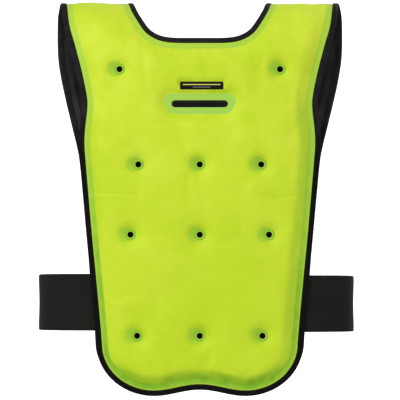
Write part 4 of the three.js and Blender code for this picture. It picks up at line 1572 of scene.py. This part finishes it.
@dataclass
class SideBand:
    """One wide elastic band, from under the back panel round the side to under the front panel."""

    name: str
    node: str
    side: int
    lower_by: float = 0.0
    width: float = 88.0
    drop: float = 433.0
    wall: float = 2.0
    high: float = -1.4
    hem_half: float = 165.0
    overlap: float = 28.0
    sheet: BodySheet = BodySheet()

    def path(self) -> tuple[np.ndarray, np.ndarray]:
        """The band's middle line round the wearer, as the sheet's superellipse.

        Returns:
            The places across and the depths as shares, one for each station.
        """
        reach = self.sheet.left_reach if self.side < 0 else self.sheet.right_reach
        power = 2 / self.sheet.section_power
        inner = (self.hem_half - self.overlap) / reach
        widest = math.asin(math.sqrt(1 - inner**self.sheet.section_power))
        turn = np.linspace(-widest, widest, 801)
        x = self.side * reach * np.cos(turn) ** power
        share = np.sign(turn) * np.abs(np.sin(turn)) ** power
        line = spaced(np.stack([x, share * self.sheet.chest_depth], axis=1), 2.5)
        return line[:, 0], line[:, 1] / self.sheet.chest_depth

    def rings(self) -> tuple[np.ndarray, np.ndarray]:
        """The band's section at each station: two long faces with round selvedges.

        Returns:
            The section's corners, as stations by corners by 3, and their places on the flat cloth.
        """
        x, share = self.path()
        t = np.linspace(0, 1, 34)
        groove = np.exp(-(((np.abs(t - 0.5) - 0.47) / 0.012) ** 2))
        face = np.stack([t, 1 - 0.3 * groove], axis=1)
        bead = np.stack([1 + 0.008 * np.cos([1.0, 0.0, -1.0]), [0.6, 0.0, -0.6]], axis=1)
        start = np.stack([-0.008 * np.cos([-1.0, 0.0, 1.0]), [-0.6, 0.0, 0.6]], axis=1)
        section = np.vstack([face, bead, face[::-1] * np.array([1, -1]), start])
        middle, half = self.high - self.wall / 2, self.wall / 2
        at_side = np.exp(-((share / 0.25) ** 2))[:, None]
        narrow = 1 - 0.02 * at_side
        down = 0.5 + (section[None, :, 0] - 0.5) * narrow
        drop = self.drop + self.lower_by + down * self.width
        depth = self.sheet.depth_at(drop)
        place = np.stack([np.broadcast_to(x[:, None], depth.shape), share[:, None] * depth], axis=2)
        step = np.gradient(place, axis=0)
        out = np.stack([step[..., 1], -step[..., 0]], axis=2) * self.side
        out /= np.linalg.norm(out, axis=2, keepdims=True)
        sag = 0.5 * np.cos(2 * np.pi * down) * (1 - np.abs(share[:, None]))
        height = middle + half * section[None, :, 1] + sag
        at = place + out * height[..., None]
        along = np.concatenate([[0], np.cumsum(np.linalg.norm(np.diff(at[:, 0], axis=0), axis=1))])
        cloth = np.stack(np.broadcast_arrays(down * self.width, along[:, None]), axis=2)
        return np.concatenate([at, -drop[..., None]], axis=2), cloth

    def stitches(self, rings: np.ndarray) -> Surface:
        """Two upright rows of stitches near each end, on the band's inner face."""
        rows = []
        for station in (3, 6, -7, -4):
            line = spaced(rings[station, 39:69], 3.4)
            step = np.diff(line, axis=0)
            beside = rings[station, 45] - rings[station, 20]
            rows.append(thread_row(line[:-1] + step / 2, step, np.broadcast_to(beside, step.shape), 2.5, 0.6))
        return joined(rows)

    def make(self) -> list[bpy.types.Object]:
        """Builds and dresses the band and its stitches.

        Returns:
            The two finished pieces.
        """
        rings, cloth = self.rings()
        band = piece_from(self.name, carried(rings, cloth, False), BlackElastic())
        sewn = piece_from(self.name + "_stitches", self.stitches(rings), Thread())
        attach(band, "root")
        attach(sewn, "root")
        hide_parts(self.node)
        return [band, sewn]


@dataclass
class Tag:
    """The small plain woven tag above the welded field."""

    panel: Panel
    name: str = "tag"
    node: str = "label"
    wall: float = 0.8
    clearance: float = 0.3

    def surface(self) -> Surface:
        """The tag: a thin plate with round corners whose rim is half a circle in section.

        Returns:
            The surface.
        """
        cut, layers = self.panel.cut, self.panel.layers
        low = layers.chamber_low + layers.weld + cut.tag_seat + self.clearance
        u = np.sin(np.linspace(-np.pi / 2, np.pi / 2, 49))
        v = np.sin(np.linspace(-np.pi / 2, np.pi / 2, 17))
        across, up = (a.ravel() for a in np.meshgrid(u, v))
        round_by = 1 - 0.012 * across**2 * up**2
        flat = np.stack([across * round_by * cut.tag_width / 2, up * round_by * cut.tag_height / 2], axis=1)
        rim = np.maximum(np.abs(across), np.abs(up))
        edge = np.sqrt(np.maximum(0, 1 - limited((rim - 0.96) / 0.04) ** 2)) * self.wall / 2
        points = flat + self.panel.tag_centre()
        middle = low + self.wall / 2
        corners = np.vstack([self.panel.put(points, middle + edge), self.panel.put(points, middle - edge)])
        i, k = np.arange(16)[:, None] * 49, np.arange(48)[None, :]
        quads = np.stack([i + k, i + k + 1, i + k + 50, i + k + 49], axis=2).reshape(-1, 4)
        both = np.vstack([flat, flat])
        notes = {"beside": both[:, 0], "up": both[:, 1]}
        return Surface(corners, [quads, quads[:, ::-1] + len(points)], both, notes, 80.0)

    def make(self) -> bpy.types.Object:
        """Builds and dresses the tag, its two faces joined at the rim.

        Returns:
            The finished piece.
        """
        piece = piece_from(self.name, self.surface(), TagCloth())
        work = bmesh.new()
        work.from_mesh(piece.data)
        bmesh.ops.remove_doubles(work, verts=work.verts, dist=1e-6)
        bmesh.ops.recalc_face_normals(work, faces=work.faces)
        work.to_mesh(piece.data)
        work.free()
        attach(piece, "root")
        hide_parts(self.node)
        return piece


# The stage


@dataclass
class Studio:
    """The camera, the soft lights, the pale floor and the white wall far behind."""

    frame_height: float = 0.640
    middle: tuple[float, float] = (0.0004, -0.3128)
    camera_far: float = 10.0
    floor_drop: float = 0.74
    floor_radius: float = 1.15
    wall_far: float = 25.0

    def camera(self) -> None:
        """A long lens square to the back panel, as the photograph was taken."""
        lens = bpy.data.cameras.new("camera")
        lens.sensor_width = 36.0
        lens.lens = 36.0 * self.camera_far / self.frame_height
        lens.clip_start, lens.clip_end = 0.5, 100.0
        eye = bpy.data.objects.new("camera", lens)
        eye.location = (self.middle[0], -self.camera_far - 0.06, self.middle[1])
        eye.rotation_euler = (math.pi / 2, 0, 0)
        bpy.context.scene.collection.objects.link(eye)
        bpy.context.scene.camera = eye

    def lamp(self, name: str, power: float, size: float, place: tuple[float, float, float]) -> None:
        """A square soft lamp that faces the middle of the vest.

        Args:
            name: the lamp's name.
            power: its power in watts.
            size: its side in metres.
            place: where it stands.
        """
        light = bpy.data.lights.new(name, "AREA")
        light.energy, light.size = power, size
        lamp = bpy.data.objects.new(name, light)
        lamp.location = place
        aim = Vector((0, 0, -0.3)) - Vector(place)
        lamp.rotation_euler = aim.to_track_quat("-Z", "Y").to_euler()
        bpy.context.scene.collection.objects.link(lamp)

    def plain(self, name: str, colour: tuple[float, float, float, float], glow: float) -> bpy.types.Material:
        """A plain pale material, or one that glows."""
        g = Graph(name)
        g.shader.inputs["Emission Color"].default_value = (1, 1, 1, 1)
        return g.dress(colour, 0.8, None, Emission_Strength=glow)

    def build(self) -> None:
        """Sets up the whole stage."""
        self.camera()
        scene = bpy.context.scene
        scene.view_settings.view_transform = "Standard"
        scene.view_settings.look = "None"
        world = bpy.data.worlds.new("studio")
        scene.world = world
        world.use_nodes = True
        world.node_tree.nodes["Background"].inputs["Color"].default_value = (1, 1, 1, 1)
        world.node_tree.nodes["Background"].inputs["Strength"].default_value = 0.58
        turn = np.linspace(0, 2 * np.pi, 97)[:-1]
        disc = np.stack([np.cos(turn), np.sin(turn), np.zeros(96)], axis=1) * self.floor_radius
        disc[:, 2] = -self.floor_drop
        wall = np.array([[-4, 0, -4], [4, 0, -4], [4, 0, 4], [-4, 0, 4]], float)
        wall[:, 1] = self.wall_far
        for name, ring_of, glow in (("floor", disc, 0.0), ("wall", wall, 1.0)):
            mesh = bpy.data.meshes.new(name)
            mesh.from_pydata(ring_of.tolist(), [], [list(range(len(ring_of)))])
            mesh.materials.append(self.plain("pale_" + name, (0.86, 0.86, 0.86, 1), glow))
            piece = bpy.data.objects.new(name, mesh)
            scene.collection.objects.link(piece)
        self.lamp("key", 71.0, 1.2, (-2.2, -2.8, 1.7))
        self.lamp("fill", 12.0, 2.0, (2.6, -3.0, 0.2))
        self.lamp("rear", 46.0, 1.2, (2.2, 2.8, 1.7))


# The vest


BACK = Panel(
    side=Side.BACK,
    shoulder_half=224.0,
    hem_half=165.0,
    neck_drop=54.5,
    has_field=True,
    side_rows=(
        (0, 1), (0.05, 0.973), (0.112, 0.924), (0.173, 0.879), (0.233, 0.845), (0.264, 0.84), (0.316, 0.856),
        (0.356, 0.861), (0.4, 0.853), (0.498, 0.83), (0.604, 0.804), (0.703, 0.777), (0.808, 0.75),
    ),
    folds=(
        Fold(-166, 302, -100, 304, -1.5, 2.4),
        Fold(-160, 307, -104, 309, 0.9, 5),
        Fold(-96, 305, 10, 309, -0.5, 5),
        Fold(67, 306, 130, 309, -1.0, 5),
        Fold(118, 312, 150, 305, -0.6, 2.4),
        Fold(66, 316, 90, 284, 1.2, 8),
        Fold(-90, 498, -36, 455, -1.8, 18),
        Fold(-36, 455, 9, 417, -1.4, 18),
        Fold(-2, 600, 18, 560, -1.6, 8),
        Fold(4, 600, 28, 570, 1.4, 7),
        Fold(-46, 596, -8, 586, -1.2, 3.6),
        Fold(12, 587, 52, 597, -1.2, 3.6),
        Fold(-163, 157, -130, 119, -1.4, 15),
        Fold(-130, 13, -112, 63, -1.4, 12),
    ),
)
FRONT = Panel(
    side=Side.FRONT,
    shoulder_half=229.0,
    hem_half=169.0,
    neck_drop=95.0,
    has_field=False,
    side_rows=(
        (0.04, 1), (0.123, 0.999), (0.184, 0.978), (0.246, 0.943), (0.307, 0.904), (0.367, 0.865),
        (0.409, 0.847), (0.511, 0.821), (0.613, 0.795), (0.695, 0.777), (0.808, 0.749),
    ),
)
ARMHOLE_FOLDS = tuple(
    Fold(side * from_x, from_drop, side * to_x, to_drop, depth, width)
    for side in (-1, 1)
    for from_x, from_drop, to_x, to_drop, depth, width in (
        (214, 20, 186, 120, 5.0, 7),
        (219, 62, 196, 172, 4.5, 8),
        (208, 120, 186, 230, 3.0, 9),
        (190, 160, 178, 290, 2.5, 10),
    )
)


def main() -> None:
    """Builds the stage and every piece of the vest, and reports each."""
    logging.basicConfig(level=logging.INFO, format="%(name)s: %(message)s")
    Studio().build()
    log.info("stage built")
    collars = [(BACK, BACK.collar), (FRONT, FRONT.collar)]
    builders = [
        Chamber(BACK, "back_chamber_skin", "back_chamber"),
        Chamber(FRONT, "front_chamber_skin", "front_chamber"),
        Binding("back_binding_tape", "back_binding", [(BACK, BACK.outer)]),
        Binding("front_binding_tape", "front_binding", [(FRONT, FRONT.outer)]),
        Binding("neck_binding_tape", "neck_binding", collars, is_ring=True),
        Lining(BACK, "back_lining_cloth", "back_lining"),
        Lining(FRONT, "front_lining_cloth", "front_lining", folds=ARMHOLE_FOLDS),
        SideBand("side_band_left_elastic", "side_band_left", -1),
        SideBand("side_band_right_elastic", "side_band_right", 1, lower_by=2.4),
        Tag(BACK),
    ]
    for builder in builders:
        made = builder.make()
        for piece in made if isinstance(made, list) else [made]:
            mesh = piece.data
            log.info("%s: %d corners, %d faces", piece.name, len(mesh.vertices), len(mesh.polygons))


if __name__ == "__main__":
    main()
